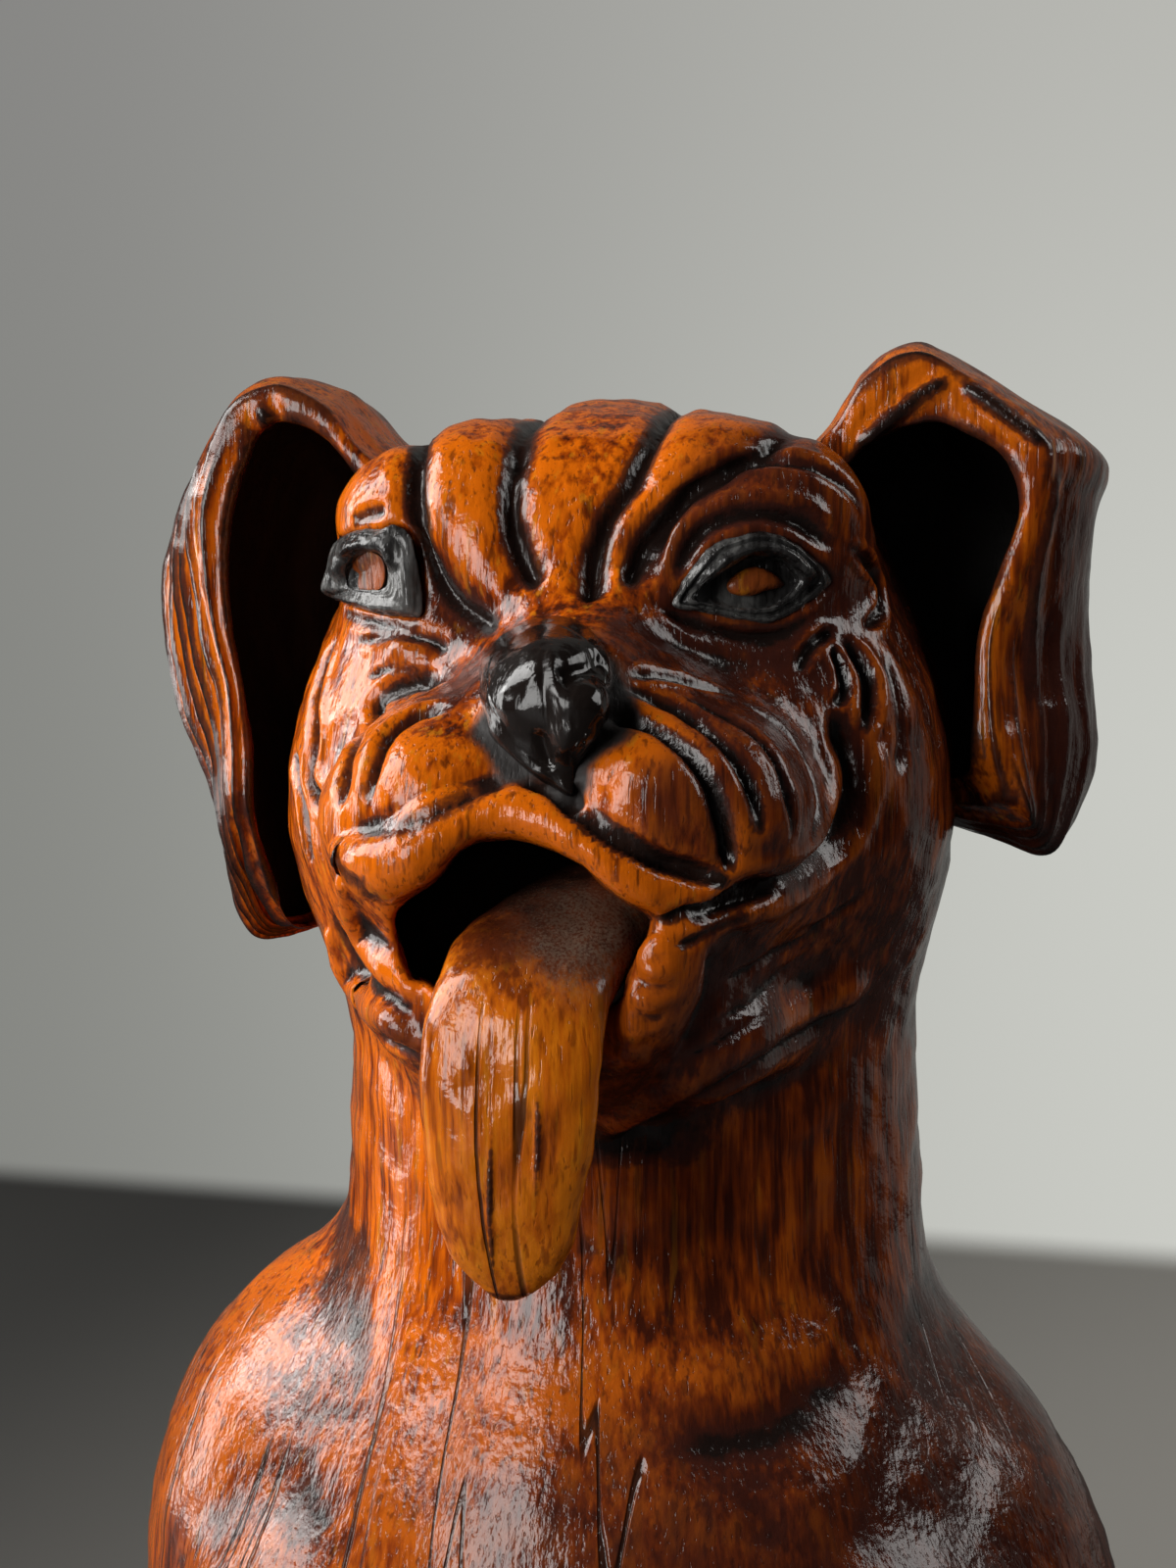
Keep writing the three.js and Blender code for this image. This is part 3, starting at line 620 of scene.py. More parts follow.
@dataclass(frozen=True)
class Opening:
    """A hollow with its outline drawn on the photograph, cut along the camera's rays to a flat floor.

    Attributes:
        outline: Pixels of the photograph.
        floor: A place on its floor, in millimetres.
        facing: The direction that the floor faces.
        corner: The rounding between wall and floor, in millimetres.
        margin: How many pixels beside the outline are measured exactly.
        beyond: The distance given to places past the margin, in millimetres.
    """

    outline: tuple
    floor: tuple
    facing: tuple
    corner: float = 2.0
    margin: float = 60.0
    beyond: float = 30.0

    def distance(self, points: Array) -> Array:
        """Return how far each point lies outside it."""
        pixels, depth = CAMERA.see(points)
        corners = np.array(self.outline)
        low, high = corners.min(axis=0) - self.margin, corners.max(axis=0) + self.margin
        near = ((pixels > low) & (pixels < high)).all(axis=1)
        out = np.full(len(points), self.beyond)
        out[near] = self.beside(pixels[near], depth[near])
        deep = (np.array(self.floor) - points) @ np.array(self.facing)
        rounded = np.hypot(np.maximum(out + self.corner, 0), np.maximum(deep + self.corner, 0)) - self.corner
        return np.where((out > -self.corner) & (deep > -self.corner), rounded, np.maximum(out, deep))

    def beside(self, pixels: Array, depth: Array) -> Array:
        """Return how far pixels lie outside the outline, in millimetres at their depths."""
        curve = closed_curve(self.outline, OPENING_POINTS)
        return polygon_distance(pixels, curve) * depth / CAMERA.focal

    def cutter(self) -> bpy.types.Object:
        """Return the hollow as a closed block, from before the wood to its floor."""
        curve = closed_curve(self.outline, OPENING_POINTS)
        shape = bmesh.new()
        bmesh.ops.create_cone(
            shape, cap_ends=True, segments=OPENING_POINTS, radius1=1, radius2=1, depth=2
        )
        facing = np.array(self.facing)
        for vert in shape.verts:
            turn = math.atan2(vert.co.y, vert.co.x) / (2 * math.pi)
            ray = CAMERA.ray(tuple(curve[round(turn * OPENING_POINTS) % OPENING_POINTS]))
            reach = (np.array(self.floor) - CAMERA.place) @ facing / (ray @ facing)
            vert.co = Vector(CAMERA.place + ray * (reach if vert.co.z < 0 else reach - BLOCK_REACH))
        bmesh.ops.recalc_face_normals(shape, faces=shape.faces)
        return link("cutter", mesh_from("cutter", shape))


def closed_curve(outline: tuple, count: int) -> Array:
    """Return points along a smooth closed curve through given ones."""
    corners = np.array(outline, dtype=float)
    wrapped = np.vstack([corners[-2:], corners, corners[:3]])
    curve = curve_through(wrapped, (len(wrapped) - 1) * SIDE_STEPS + 1)
    curve = curve[2 * SIDE_STEPS : (2 + len(corners)) * SIDE_STEPS]
    return curve[np.linspace(0, len(curve), count, endpoint=False).astype(int)]


def polygon_distance(points: Array, polygon: Array) -> Array:
    """Return how far points lie outside a closed polygon in the plane."""
    best = np.full(len(points), np.inf)
    inside = np.zeros(len(points), dtype=bool)
    for start, end in zip(polygon, np.roll(polygon, -1, axis=0)):
        along = end - start
        offset = points - start
        share = np.clip(offset @ along / max(along @ along, TINY), 0, 1)
        best = np.minimum(best, ((offset - share[:, None] * along) ** 2).sum(axis=1))
        crosses = (start[1] > points[:, 1]) != (end[1] > points[:, 1])
        rise = along[1] if abs(along[1]) > TINY else TINY
        inside ^= crosses & (points[:, 0] < start[0] + (points[:, 1] - start[1]) / rise * along[0])
    return np.where(inside, -1, 1) * np.sqrt(best)


def both_sides(make: Callable[[int], object]) -> list:
    """Return what a function makes for the left side and for the right."""
    return [make(LEFT), make(RIGHT)]


@dataclass
class Form:
    """The roughed out form: masses joined softly, hollows taken out, and a flat base.

    Attributes:
        masses: What is joined.
        hollows: What is taken out.
        edge: The rounding of a hollow's rim in millimetres.
    """

    masses: list
    hollows: list = field(default_factory=list)
    edge: float = 1.2

    def outside(self, points: Array) -> Array:
        """Return how far each point lies outside the form."""
        out = self.masses[0].distance(points)
        for mass in self.masses[1:]:
            out = self._join(out, mass.distance(points), mass.blend)
        for hollow in self.hollows:
            out = -self._join(-out, hollow.distance(points), self.edge)
        return np.maximum(out, -points[:, 2])

    @staticmethod
    def _join(first: Array, second: Array, blend: float) -> Array:
        """Return the smooth union of two distances."""
        overlap = np.maximum(blend - np.abs(first - second), 0) / blend
        return np.minimum(first, second) - overlap**2 * blend / 4

    def _slope(self, points: Array, out: Array, step: float) -> Array:
        """Return how the distance outside the form grows along each axis.

        Args:
            points: In millimetres.
            out: How far each lies outside the form.
            step: The length of the step that is tried along each axis.

        Returns:
            The slope at each point.
        """
        slope = np.empty_like(points)
        for axis in range(3):
            moved = points.copy()
            moved[:, axis] += step
            slope[:, axis] = (self.outside(moved) - out) / step
        return slope

    def settle(self, points: Array, rounds: int) -> Array:
        """Move points along the form's slope until they lie on its skin."""
        for _ in range(rounds):
            out = self.outside(points)
            slope = self._slope(points, out, 0.05)
            size = np.maximum((slope**2).sum(axis=1), 0.25)
            points = points - slope * (np.clip(out, -3, 3) / size)[:, None]
        return points

    def seen_points(self, pixels: Array) -> Array:
        """Return the points of the skin at pixels of the photograph, or the nearest to their rays."""
        rays = np.array([CAMERA.ray(tuple(pixel)) for pixel in pixels])
        step = 0.25
        depths = np.arange(*SEARCHED_DEPTHS, step)
        places = CAMERA.place + rays[:, None] * depths[None, :, None]
        out = self.outside(places.reshape(-1, 3)).reshape(len(rays), -1)
        inside = out < 0
        reached = np.where(inside.any(axis=1), inside.argmax(axis=1), out.argmin(axis=1))
        every = np.arange(len(rays))
        before, behind = out[every, reached - 1], out[every, reached]
        short = np.where(behind < 0, behind / np.minimum(behind - before, -TINY), 0)
        return CAMERA.place + rays * (depths[reached] - short * step)[:, None]

    def facing(self, points: Array) -> Array:
        """Return the outward directions of the form at points."""
        slope = self._slope(points, self.outside(points), 0.2)
        return slope / np.maximum(np.linalg.norm(slope, axis=1), TINY)[:, None]

    def skin_point(self, origin: Array, direction: Array, reach: float = 110.0) -> Array:
        """Return the outermost point of the skin along a ray from inside.

        Args:
            origin: A place inside the form.
            direction: The ray's direction, of length 1.
            reach: How far out the search starts, in millimetres.

        Returns:
            The point in millimetres.
        """
        for _ in range(400):
            out = self.outside((origin + direction * reach)[None])[0]
            if out < 0.01:
                break
            reach -= max(0.02, 0.6 * out)
        return origin + direction * reach


# Chisel strokes


class Look(Enum):
    """Where a stroke's points are given."""

    PHOTO = "pixels of the photograph"
    WOOD = "millimetres, carried to the nearest wood"


@dataclass(frozen=True)
class Stroke:
    """One pass of a gouge, or a rib left standing if its depth is negative.

    Attributes:
        path: Where it runs.
        width: Half the width of the cut in millimetres.
        depth: In millimetres.
        puff: How far the wood beside the cut stands up, as a share of its depth.
        soft: How deep the rounded valley round the cut is, as a share of its depth.
        fade: The share of its length over which each end runs out.
        lean: Which side stands up more, from -1 to 1.
        look: How the path is given.
        stain: How dark the cut is stained, as a share.
        round: The shape of the cut, from 1 for a sharp valley to 3 for a trough with steep walls.
    """

    path: tuple
    width: float = 1.0
    depth: float = 1.0
    puff: float = 0.2
    fade: float = 0.2
    soft: float = 0.35
    lean: float = 0.0
    look: Look = Look.PHOTO
    stain: float = 1.0
    round: float = 1.6


@dataclass(frozen=True)
class Pad:
    """A soft swelling, or a dent if its height is negative, at a pixel of the photograph."""

    place: tuple
    radius: float
    height: float


@dataclass(frozen=True)
class Tint:
    """Black paint, dust, painted shade or a painted highlight laid on round a pixel of the photograph.

    Attributes:
        place: The pixel.
        radius: In millimetres.
        channel: The stored channel that it goes into.
        strength: From 0 to 1.
        edge: How softly it ends, as a share of the radius.
    """

    place: tuple
    radius: float
    channel: str
    strength: float
    edge: float


def smooth(value: Array, low: float, high: float) -> Array:
    """Return a smooth step from 0 at low to 1 at high."""
    share = np.clip((value - low) / (high - low), 0, 1)
    return share * share * (3 - 2 * share)


def curve_through(points: Array, count: int) -> Array:
    """Return points along a smooth curve through given ones."""
    padded = np.vstack([2 * points[0] - points[1], points, 2 * points[-1] - points[-2]])
    place = np.linspace(0, len(points) - 1, count)
    index = np.minimum(place.astype(int), len(points) - 2)
    corners = [padded[index + step] for step in range(4)]
    return between(corners, (place - index)[:, None])


def between(corners: list[Array], share: Array) -> Array:
    """Return points on a smooth curve between the second and third of four corners."""
    before, start, end, after = corners
    bend = (2 * before - 5 * start + 4 * end - after) * share**2
    twist = (3 * start - before - 3 * end + after) * share**3
    return 0.5 * (2 * start + (end - before) * share + bend + twist)


def ripple(points: Array, size: float, seed: int) -> Array:
    """Return a gentle unevenness about 0, with waves of about a size in millimetres."""
    turns = np.random.default_rng(seed)
    total = np.zeros(len(points))
    for _ in range(7):
        wave = turns.normal(size=3)
        wave *= 2 * math.pi / (size * np.linalg.norm(wave)) * turns.uniform(0.7, 1.4)
        total += np.sin(points @ wave + turns.uniform(0, 2 * math.pi))
    return total / 3.5


class Carving:
    """A closed mesh that is shaped point by point in millimetres and then made a piece."""

    def __init__(self, name: str, shape: bmesh.types.BMesh) -> None:
        """Take over a mesh."""
        self.name = name
        self.mesh = mesh_from(name, shape)
        self.channels: dict[str, Array] = {}
        self._read()

    def _read(self) -> None:
        """Read the mesh's points and edges."""
        self.points = np.empty(len(self.mesh.vertices) * 3)
        self.mesh.vertices.foreach_get("co", self.points)
        self.points = self.points.reshape(-1, 3)
        edges = np.empty(len(self.mesh.edges) * 2, dtype=np.int64)
        self.mesh.edges.foreach_get("vertices", edges)
        self.edges = edges.reshape(-1, 2)
        ends = self.edges.ravel()
        self.valence = np.maximum(np.bincount(ends, minlength=len(self.points)), 1)[:, None]
        # Channels: stain and painted shade in hollows, wear and painted highlights on crests, painted shade,
        # black paint and black painted shade, dust
        for channel in ("hollow", "crest", "shade", "black_paint_and_shade", "dust"):
            self.channels[channel] = np.zeros(len(self.points))

    def write(self) -> None:
        """Write the points back to the mesh."""
        self.mesh.vertices.foreach_set("co", self.points.ravel())
        self.mesh.update()

    def normals(self) -> Array:
        """Return the outward direction at each point."""
        self.write()
        normals = np.empty(len(self.points) * 3)
        self.mesh.vertices.foreach_get("normal", normals)
        return normals.reshape(-1, 3)

    def around(self, values: Array) -> Array:
        """Return the mean of each point's neighbours."""
        first, second = self.edges.T
        total = np.empty_like(values)
        for column in range(values.shape[1]):
            one = values[:, column]
            ahead = np.bincount(first, one[second], len(one))
            total[:, column] = ahead + np.bincount(second, one[first], len(one))
        return total / self.valence

    def even_out(self, rounds: int, strength: float = 0.5) -> None:
        """Slide points along the surface towards the middle of their neighbours."""
        for _ in range(rounds):
            normal = self.normals()
            move = self.around(self.points) - self.points
            move -= normal * (move * normal).sum(axis=1)[:, None]
            self.points = self.points + strength * move

    def remesh(self, size: float, cutters: Sequence[bpy.types.Object] = ()) -> None:
        """Make the mesh anew as one even skin, with blocks cut out of it first."""
        self.write()
        holder = link("roughing", self.mesh)
        for cutter in cutters:
            cut = holder.modifiers.new("cut", "BOOLEAN")
            cut.operation = "DIFFERENCE"
            cut.object = cutter
        modifier = holder.modifiers.new("skin", "REMESH")
        modifier.mode = "VOXEL"
        modifier.voxel_size = size
        evaluated = holder.evaluated_get(bpy.context.evaluated_depsgraph_get())
        solid = bpy.data.meshes.new_from_object(evaluated)
        for spent in (holder, *cutters):
            mesh = spent.data
            bpy.data.objects.remove(spent)
            bpy.data.meshes.remove(mesh)
        self.mesh = solid
        self._read()

    def refine(self, chosen: Array) -> None:
        """Halve the edges between chosen points."""
        self.write()
        shape = bmesh.new()
        shape.from_mesh(self.mesh)
        shape.edges.ensure_lookup_table()
        numbers = np.flatnonzero(chosen[self.edges].all(axis=1))
        halved = [shape.edges[number] for number in numbers]
        bmesh.ops.subdivide_edges(shape, edges=halved, cuts=1, use_grid_fill=True)
        shape.to_mesh(self.mesh)
        shape.free()
        self._read()

    def tree(self) -> BVHTree:
        """Return a tree for casting rays at the mesh."""
        self.write()
        corners = np.empty(len(self.mesh.loops), dtype=np.int64)
        self.mesh.loops.foreach_get("vertex_index", corners)
        starts = np.empty(len(self.mesh.polygons), dtype=np.int64)
        self.mesh.polygons.foreach_get("loop_start", starts)
        faces = np.split(corners, starts[1:])
        return BVHTree.FromPolygons(self.points.tolist(), [one.tolist() for one in faces])

    @staticmethod
    def carry(tree: BVHTree, place: tuple, look: Look = Look.PHOTO) -> Array | None:
        """Carry a place to the wood, or return None if its ray misses.

        Args:
            tree: The mesh's tree.
            place: A pixel, or a place in millimetres.
            look: Which of the two it is.

        Returns:
            The place on the wood and the direction that it faces, as six numbers.
        """
        if look is Look.PHOTO:
            hit = tree.ray_cast(Vector(CAMERA.place), Vector(CAMERA.ray(place)))
        else:
            hit = tree.find_nearest(Vector(place))
        return None if hit[0] is None else np.array([*hit[0], *hit[1]])

    def carve(self, strokes: list[Stroke], pads: Sequence[Pad] = ()) -> None:
        """Cut the strokes and raise the pads, all measured on the skin as it was."""
        normal = self.normals()
        tree = self.tree()
        cut = np.zeros(len(self.points))
        rise = np.zeros(len(self.points))
        swell = np.zeros(len(self.points))
        for pad in pads:
            hit = self.carry(tree, pad.place)
            if hit is None:
                log.warning("%s: a pad at %s misses the wood", self.name, pad.place)
                continue
            share = np.linalg.norm(self.points - hit[:3], axis=1) / pad.radius
            swell += pad.height * np.where(share < 1, (1 - np.minimum(share, 1) ** 2) ** 2, 0)
        for stroke in strokes:
            hits = [self.carry(tree, place, stroke.look) for place in stroke.path]
            hits = [hit for hit in hits if hit is not None]
            if len(hits) < 2:
                log.warning("%s: a stroke from %s misses the wood", self.name, stroke.path[0])
                continue
            self._cut_one(stroke, np.array(hits), normal, cut, rise)
        self.points = self.points + normal * (swell + rise - cut)[:, None]

    def _cut_one(
        self, stroke: Stroke, hits: Array, normal: Array, cut: Array, rise: Array
    ) -> None:
        """Add one stroke's cut and rise to the running ones.

        Args:
            stroke: The stroke.
            hits: Its places on the wood, with the directions that they face.
            normal: The outward direction at each point.
            cut: How deep each point is cut so far.
            rise: How far each point is raised so far.
        """
        length = np.linalg.norm(np.diff(hits[:, :3], axis=0), axis=1).sum()
        line = curve_through(hits, max(8, int(length / 0.35)))
        places, facing = line[:, :3], line[:, 3:]
        reach = stroke.width * (5.0 if stroke.soft else 3.2)
        low, high = places.min(axis=0) - reach, places.max(axis=0) + reach
        near = np.flatnonzero(((self.points > low) & (self.points < high)).all(axis=1))
        if not len(near):
            return
        offset = self.points[near, None] - places[None]
        gap = (offset**2).sum(axis=2)
        nearest = gap.argmin(axis=1)
        gap = np.sqrt(gap[np.arange(len(near)), nearest])
        share = nearest / (len(places) - 1)
        ends = smooth(np.minimum(share, 1 - share), -0.02, max(stroke.fade, 0.01))
        same_way = smooth((normal[near] * facing[nearest]).sum(axis=1), 0.0, 0.5)
        along = np.gradient(places, axis=0)[nearest]
        aside = offset[np.arange(len(near)), nearest]
        side = np.sign((np.cross(along, facing[nearest]) * aside).sum(axis=1))
        width = stroke.width * (0.55 + 0.45 * ends)
        ratio = gap / width
        valley = stroke.soft * np.exp(-((ratio / 2.4) ** 2))
        body = np.maximum(np.exp(-(ratio**stroke.round)), valley) * ends * same_way
        shoulder = np.exp(-(((ratio - 2.2) / 0.9) ** 2)) * ends * same_way * (1 + stroke.lean * side)
        depth = abs(stroke.depth)
        if stroke.depth > 0:
            cut[near] = np.maximum(cut[near], depth * body)
            rise[near] = np.maximum(rise[near], depth * stroke.puff * shoulder)
            hollow = self.channels["hollow"]
            dark = stroke.stain * min(1.0, 0.45 + depth) * (1 - smooth(ratio, 0.6, 1.7))
            stain = dark * smooth(ends, 0, 0.5) * same_way
            hollow[near] = np.maximum(hollow[near], stain)
        else:
            rise[near] = np.maximum(rise[near], depth * body)

    def tint(self, tints: list[Tint]) -> None:
        """Lay black paint, dust, painted shade and painted highlights on."""
        tree = self.tree()
        for one in tints:
            hit = self.carry(tree, one.place)
            if hit is None:
                continue
            share = np.linalg.norm(self.points - hit[:3], axis=1) / one.radius
            share += ripple(self.points, one.radius * 0.8, 5) * 0.12
            laid = one.strength * (1 - smooth(share, 1 - one.edge, 1 + one.edge))
            self.lay(one.channel, laid)

    def lay(self, channel: str, values: Array) -> None:
        """Raise a channel to the values where they are higher."""
        self.channels[channel] = np.maximum(self.channels[channel], values)

    def push(self, rise: Array) -> None:
        """Move the points outwards by a rise in millimetres."""
        self.points = self.points + self.normals() * rise[:, None]

    def waves(self, *ripples: tuple[float, int, float]) -> Array:
        """Return a rise made of ripples, each given as its size, seed and height."""
        return sum(ripple(self.points, size, seed) * height for size, seed, height in ripples)

    def blacken_inside(self, opening: Opening, reach: float) -> None:
        """Blacken the inside of an opening, up to a reach in front of its floor: painted shade in the mouth,
        black paint in an eye's socket.
        """
        pixels, depth = CAMERA.see(self.points)
        out = opening.beside(pixels, depth)
        ahead = (self.points - np.array(opening.floor)) @ np.array(opening.facing)
        inside = (1 - smooth(out, -0.9, 0.3)) * (1 - smooth(ahead, reach - 3, reach)) * (ahead > -3)
        self.lay("black_paint_and_shade", inside)

    def darken_hollows_and_wear_crests(
        self, hollow_gain: float = 1.0, crest_gain: float = 1.0, broad_gain: float = 0.0
    ) -> None:
        """Find the hollows and crests of the finished shape: the hollows get stain and painted shade, the
        crests wear.

        Args:
            hollow_gain: How strongly hollows are darkened with stain and painted shade.
            crest_gain: How strongly crests are worn.
            broad_gain: How strongly the wood is darkened with painted shade for a few millimetres round a
                hollow.
        """
        normal = self.normals()
        spread = self.points
        for rounds, weight in ((4, 2.4), (16, 1.3), (40, broad_gain)):
            for _ in range(rounds):
                spread = self.around(spread)
            lift = ((self.points - spread) * normal).sum(axis=1)
            self.channels["crest"] += smooth(lift * weight * crest_gain, 0.05, 0.5) * 0.6
            self.lay("hollow", smooth(-lift * weight * hollow_gain, 0.06, 0.55) * 0.95)
        self.channels["crest"] = np.clip(self.channels["crest"], 0, 1)

    def finish(self, finish: Material, slot: str, *replaced: str) -> bpy.types.Object:
        """Make the piece: its mesh in metres, its stored channels, its material and its place in the frame.

        Args:
            finish: The material.
            slot: Not used.
            replaced: The CAD nodes that the piece stands for.

        Returns:
            The finished object.
        """
        self.points = self.points * MM
        self.write()
        for name, values in self.channels.items():
            stored = self.mesh.attributes.new(name, "FLOAT", "POINT")
            stored.data.foreach_set("value", np.clip(values, 0, 1).astype(np.float32))
        self.mesh.polygons.foreach_set("use_smooth", [True] * len(self.mesh.polygons))
        self.mesh.materials.append(finish)
        piece = link(self.name, self.mesh)
        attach(piece, BODY)
        if replaced:
            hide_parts(*replaced)
        log.info("%s: %d faces", self.name, len(self.mesh.polygons))
        return piece


def ball_mesh(around: int, high: int) -> bmesh.types.BMesh:
    """Return a unit ball that is shaped into a piece later."""
    shape = bmesh.new()
    bmesh.ops.create_uvsphere(shape, u_segments=around, v_segments=high, radius=1.0)
    return shape


def globe_places(points: Array) -> tuple[Array, Array]:
    """Return each point's share of the way from pole to pole, and its angle round the ball."""
    share = np.arccos(np.clip(points[:, 2], -1, 1)) / math.pi
    return share, np.arctan2(points[:, 1], points[:, 0])


def along_table(values: tuple, share: Array) -> Array:
    """Return values between evenly spaced ones, at shares of the way."""
    table = curve_through(np.array(values, dtype=float)[:, None], TABLE_STEPS)[:, 0]
    return np.interp(share, np.linspace(0, 1, TABLE_STEPS), table)


def line_frame(points: Array, share: Array, sideways: Array) -> tuple[Array, ...]:
    """Return the place, the direction across and the facing direction along a curve at each share.

    Args:
        points: The points that the curve runs through.
        share: Shares of the way.
        sideways: The direction that the width runs in, roughly.

    Returns:
        The places, the directions across and the facing directions.
    """
    curve = curve_through(points, CURVE_STEPS)
    tangent = np.gradient(curve, axis=0)
    tangent /= np.linalg.norm(tangent, axis=1)[:, None]
    facing = np.cross(sideways, tangent)
    facing /= np.linalg.norm(facing, axis=1)[:, None]
    across = np.cross(tangent, facing)
    steps = np.linspace(0, 1, CURVE_STEPS)
    lines = (curve, across, facing)
    return tuple(np.stack([np.interp(share, steps, one) for one in line.T], axis=1) for line in lines)


# The log


@dataclass
class Log:
    """The head, neck, body and legs, in one log of wood.

    Attributes:
        rough_size: The spacing of the first even skin in millimetres.
        skin_size: The spacing of the second, on the body.
        head_from: The height above which the skin is made finer.
        face_from: The height above which the face is made finest.
        face_turn: How far a place must face the camera for that, from 0 to 1.
        face_front: How far forward it must lie, in millimetres.
        neck_radius: In millimetres.
        shoulder_spread: From the middle to each shoulder, in millimetres.
        haunch_spread: From the middle to each haunch.
        foreleg_spread: From the middle to each foreleg.
        paw_height: Of the paws' middles.
    """

    rough_size: float = 2.2
    skin_size: float = 1.9
    head_from: float = 122.0
    face_from: float = 142.0
    face_turn: float = 0.08
    face_front: float = -14.0
    neck_radius: float = 29.4
    shoulder_spread: float = 33.0
    haunch_spread: float = 37.0
    foreleg_spread: float = 23.0
    paw_height: float = 8.0

    def form(self) -> Form:
        """Return the roughed out form, without its hollows."""
        spread, leg, paw = self.haunch_spread, self.foreleg_spread, self.paw_height
        body = [
            Limb((0, -4, 100), tuple(head(0, 2, -14)), (self.neck_radius + 2, self.neck_radius), 12),
            Ball((0, -14, 90), (38, 33, 34), 14),
            Ball((self.shoulder_spread, -3, 68), (20.5, 25, 44), 12),
            Ball((-self.shoulder_spread, -3, 90), (21.5, 25, 33), 12),
            Ball((0, 14, 68), (43, 42, 62), 16),
            Ball((0, 30, 34), (45, 36, 40), 14),
            *both_sides(lambda side: Ball((side * spread, 20, 36), (22, 36, 36), 7)),
            Ball((0, -16, 26), (26, 20, 52), 10),
            *both_sides(lambda side: Limb((side * (leg + 3), -27, 84), (side * leg, -46, 12), (16, 12), 7)),
            *both_sides(lambda side: Ball((side * leg, -54, paw), (12.5, 16, 9.5), 4)),
            *both_sides(lambda side: Ball((side * 45, -14, paw), (11.5, 24, 9.5), 4)),
        ]
        face = [
            Ball(tuple(head(0, 0, 0)), (29.8, 31, 26.5)),
            *both_sides(lambda side: Ball(tuple(head(side * 17.5, -6, -16)), (16.5, 22, 20))),
            Ball(tuple(head(0.5, -28, -20)), (22, 18, 15), 7),
            Ball(tuple(head(1.5, -32, -7)), (9, 11, 8), 7),
            *both_sides(lambda side: Ball(tuple(head(side * 11, -34, -17)), (11.5, 11, 10.5), 5)),
            *both_sides(lambda side: Ball(tuple(head(side * 14.5, -18, 12.5)), (11.5, 8.5, 8), 9)),
            Ball(tuple(head(-1, -26, -35)), (19, 17, 10), 6),
        ]
        plain = Form(body + face)
        return Form(plain.masses + [roll.laid_on(plain) for roll in FACE_ROLLS])

    def rough_out(self, form: Form, hollows: list[Opening]) -> Carving:
        """Return the form's skin, finer on the head and finest on the face."""
        shape = bmesh.new()
        unit = mesh_from("ball", ball_mesh(48, 32))
        for mass in form.masses:
            if isinstance(mass, LaidRoll):
                continue
            ends = [(mass.centre, mass.half)] if isinstance(mass, Ball) else self._limb_balls(mass)
            for centre, half in ends:
                before = len(shape.verts)
                shape.from_mesh(unit)
                shape.verts.ensure_lookup_table()
                place = Matrix.Translation(centre) @ Matrix.Diagonal((*half, 1.0))
                bmesh.ops.transform(shape, matrix=place, verts=shape.verts[before:])
        bpy.data.meshes.remove(unit)
        carving = Carving("log_carved", shape)
        carving.remesh(self.rough_size)
        carving.points = form.settle(carving.points, 6)
        carving.remesh(self.skin_size, [hollow.cutter() for hollow in hollows])
        form = Form(form.masses, hollows)
        carving.points = form.settle(carving.points, 3)
        self._even(carving, form, 3)
        carving.refine(carving.points[:, 2] > self.head_from)
        self._even(carving, form, 2)
        carving.refine(self._seen(carving))
        self._even(carving, form, 3)
        return carving

    def _seen(self, carving: Carving) -> Array:
        """Return which points are on the face, towards the camera."""
        turned = carving.normals() @ -CAMERA.axes[2] > self.face_turn
        _, y, z = carving.points.T
        return turned & (z > self.face_from) & (y < self.face_front)

    @staticmethod
    def _limb_balls(limb: Limb) -> list:
        """Return balls strung along a limb."""
        start, end = np.array(limb.start), np.array(limb.end)
        first, last = limb.radii
        return [
            (tuple(start + (end - start) * share), (first + (last - first) * share,) * 3)
            for share in np.linspace(0, 1, 12)
        ]

    @staticmethod
    def _even(carving: Carving, form: Form, rounds: int) -> None:
        """Even the mesh out and bring it back to the form's skin."""
        for _ in range(rounds):
            carving.even_out(2)
            carving.points = form.settle(carving.points, 1)

    def make(self, form: Form, eyes: list["Eye"], finish: Material) -> None:
        """Carve the log.

        Args:
            form: Its form.
            eyes: The eyes that are let into it.
            finish: Its material.
        """
        sockets = [eye.socket(form) for eye in eyes]
        carving = self.rough_out(form, [MOUTH, *sockets])
        carving.carve(self._forehead(form), FACE_PADS)
        carving.carve(FACE_FOLDS)
        carving.carve(FACE_LINES + BODY_LINES)
        self._unevenness(carving)
        carving.tint(FACE_TINTS)
        # The mouth's inside is blackened as painted shade; the eyes' sockets are black like the eyes' paint.
        carving.blacken_inside(MOUTH, 14.0)
        for socket in sockets:
            carving.blacken_inside(socket, 6.0)
        self._shade(carving)
        carving.darken_hollows_and_wear_crests(broad_gain=0.75)
        carving.finish(finish, "body_wood", "log")

    @staticmethod
    def _shade(carving: Carving) -> None:
        """Lay painted shade on the dog's left side, away from the window, and on the throat under the jaw,
        and darken the lower body and chest.
        """
        x, y, z = carving.points.T
        below = smooth(-z + ripple(carving.points, 14.0, 24) * 4, -126, -112)
        left = smooth(x + ripple(carving.points, 22.0, 21) * 5, 6.0, 26.0) * (0.62 + 0.33 * below)
        chest = smooth(x + ripple(carving.points, 12.0, 23) * 6, -22, 2)
        low = smooth(-z + ripple(carving.points, 18.0, 22) * 5, -128, -104) * (0.5 + 0.45 * chest)
        left = np.maximum(left, low)
        throat = smooth(-np.abs(x - 6), -24, -6) * smooth(-y, 8, 20) * smooth(z, 88, 112)
        throat = throat * smooth(-z, -158, -150) * 0.45
        carving.lay("shade", np.maximum(left, throat))

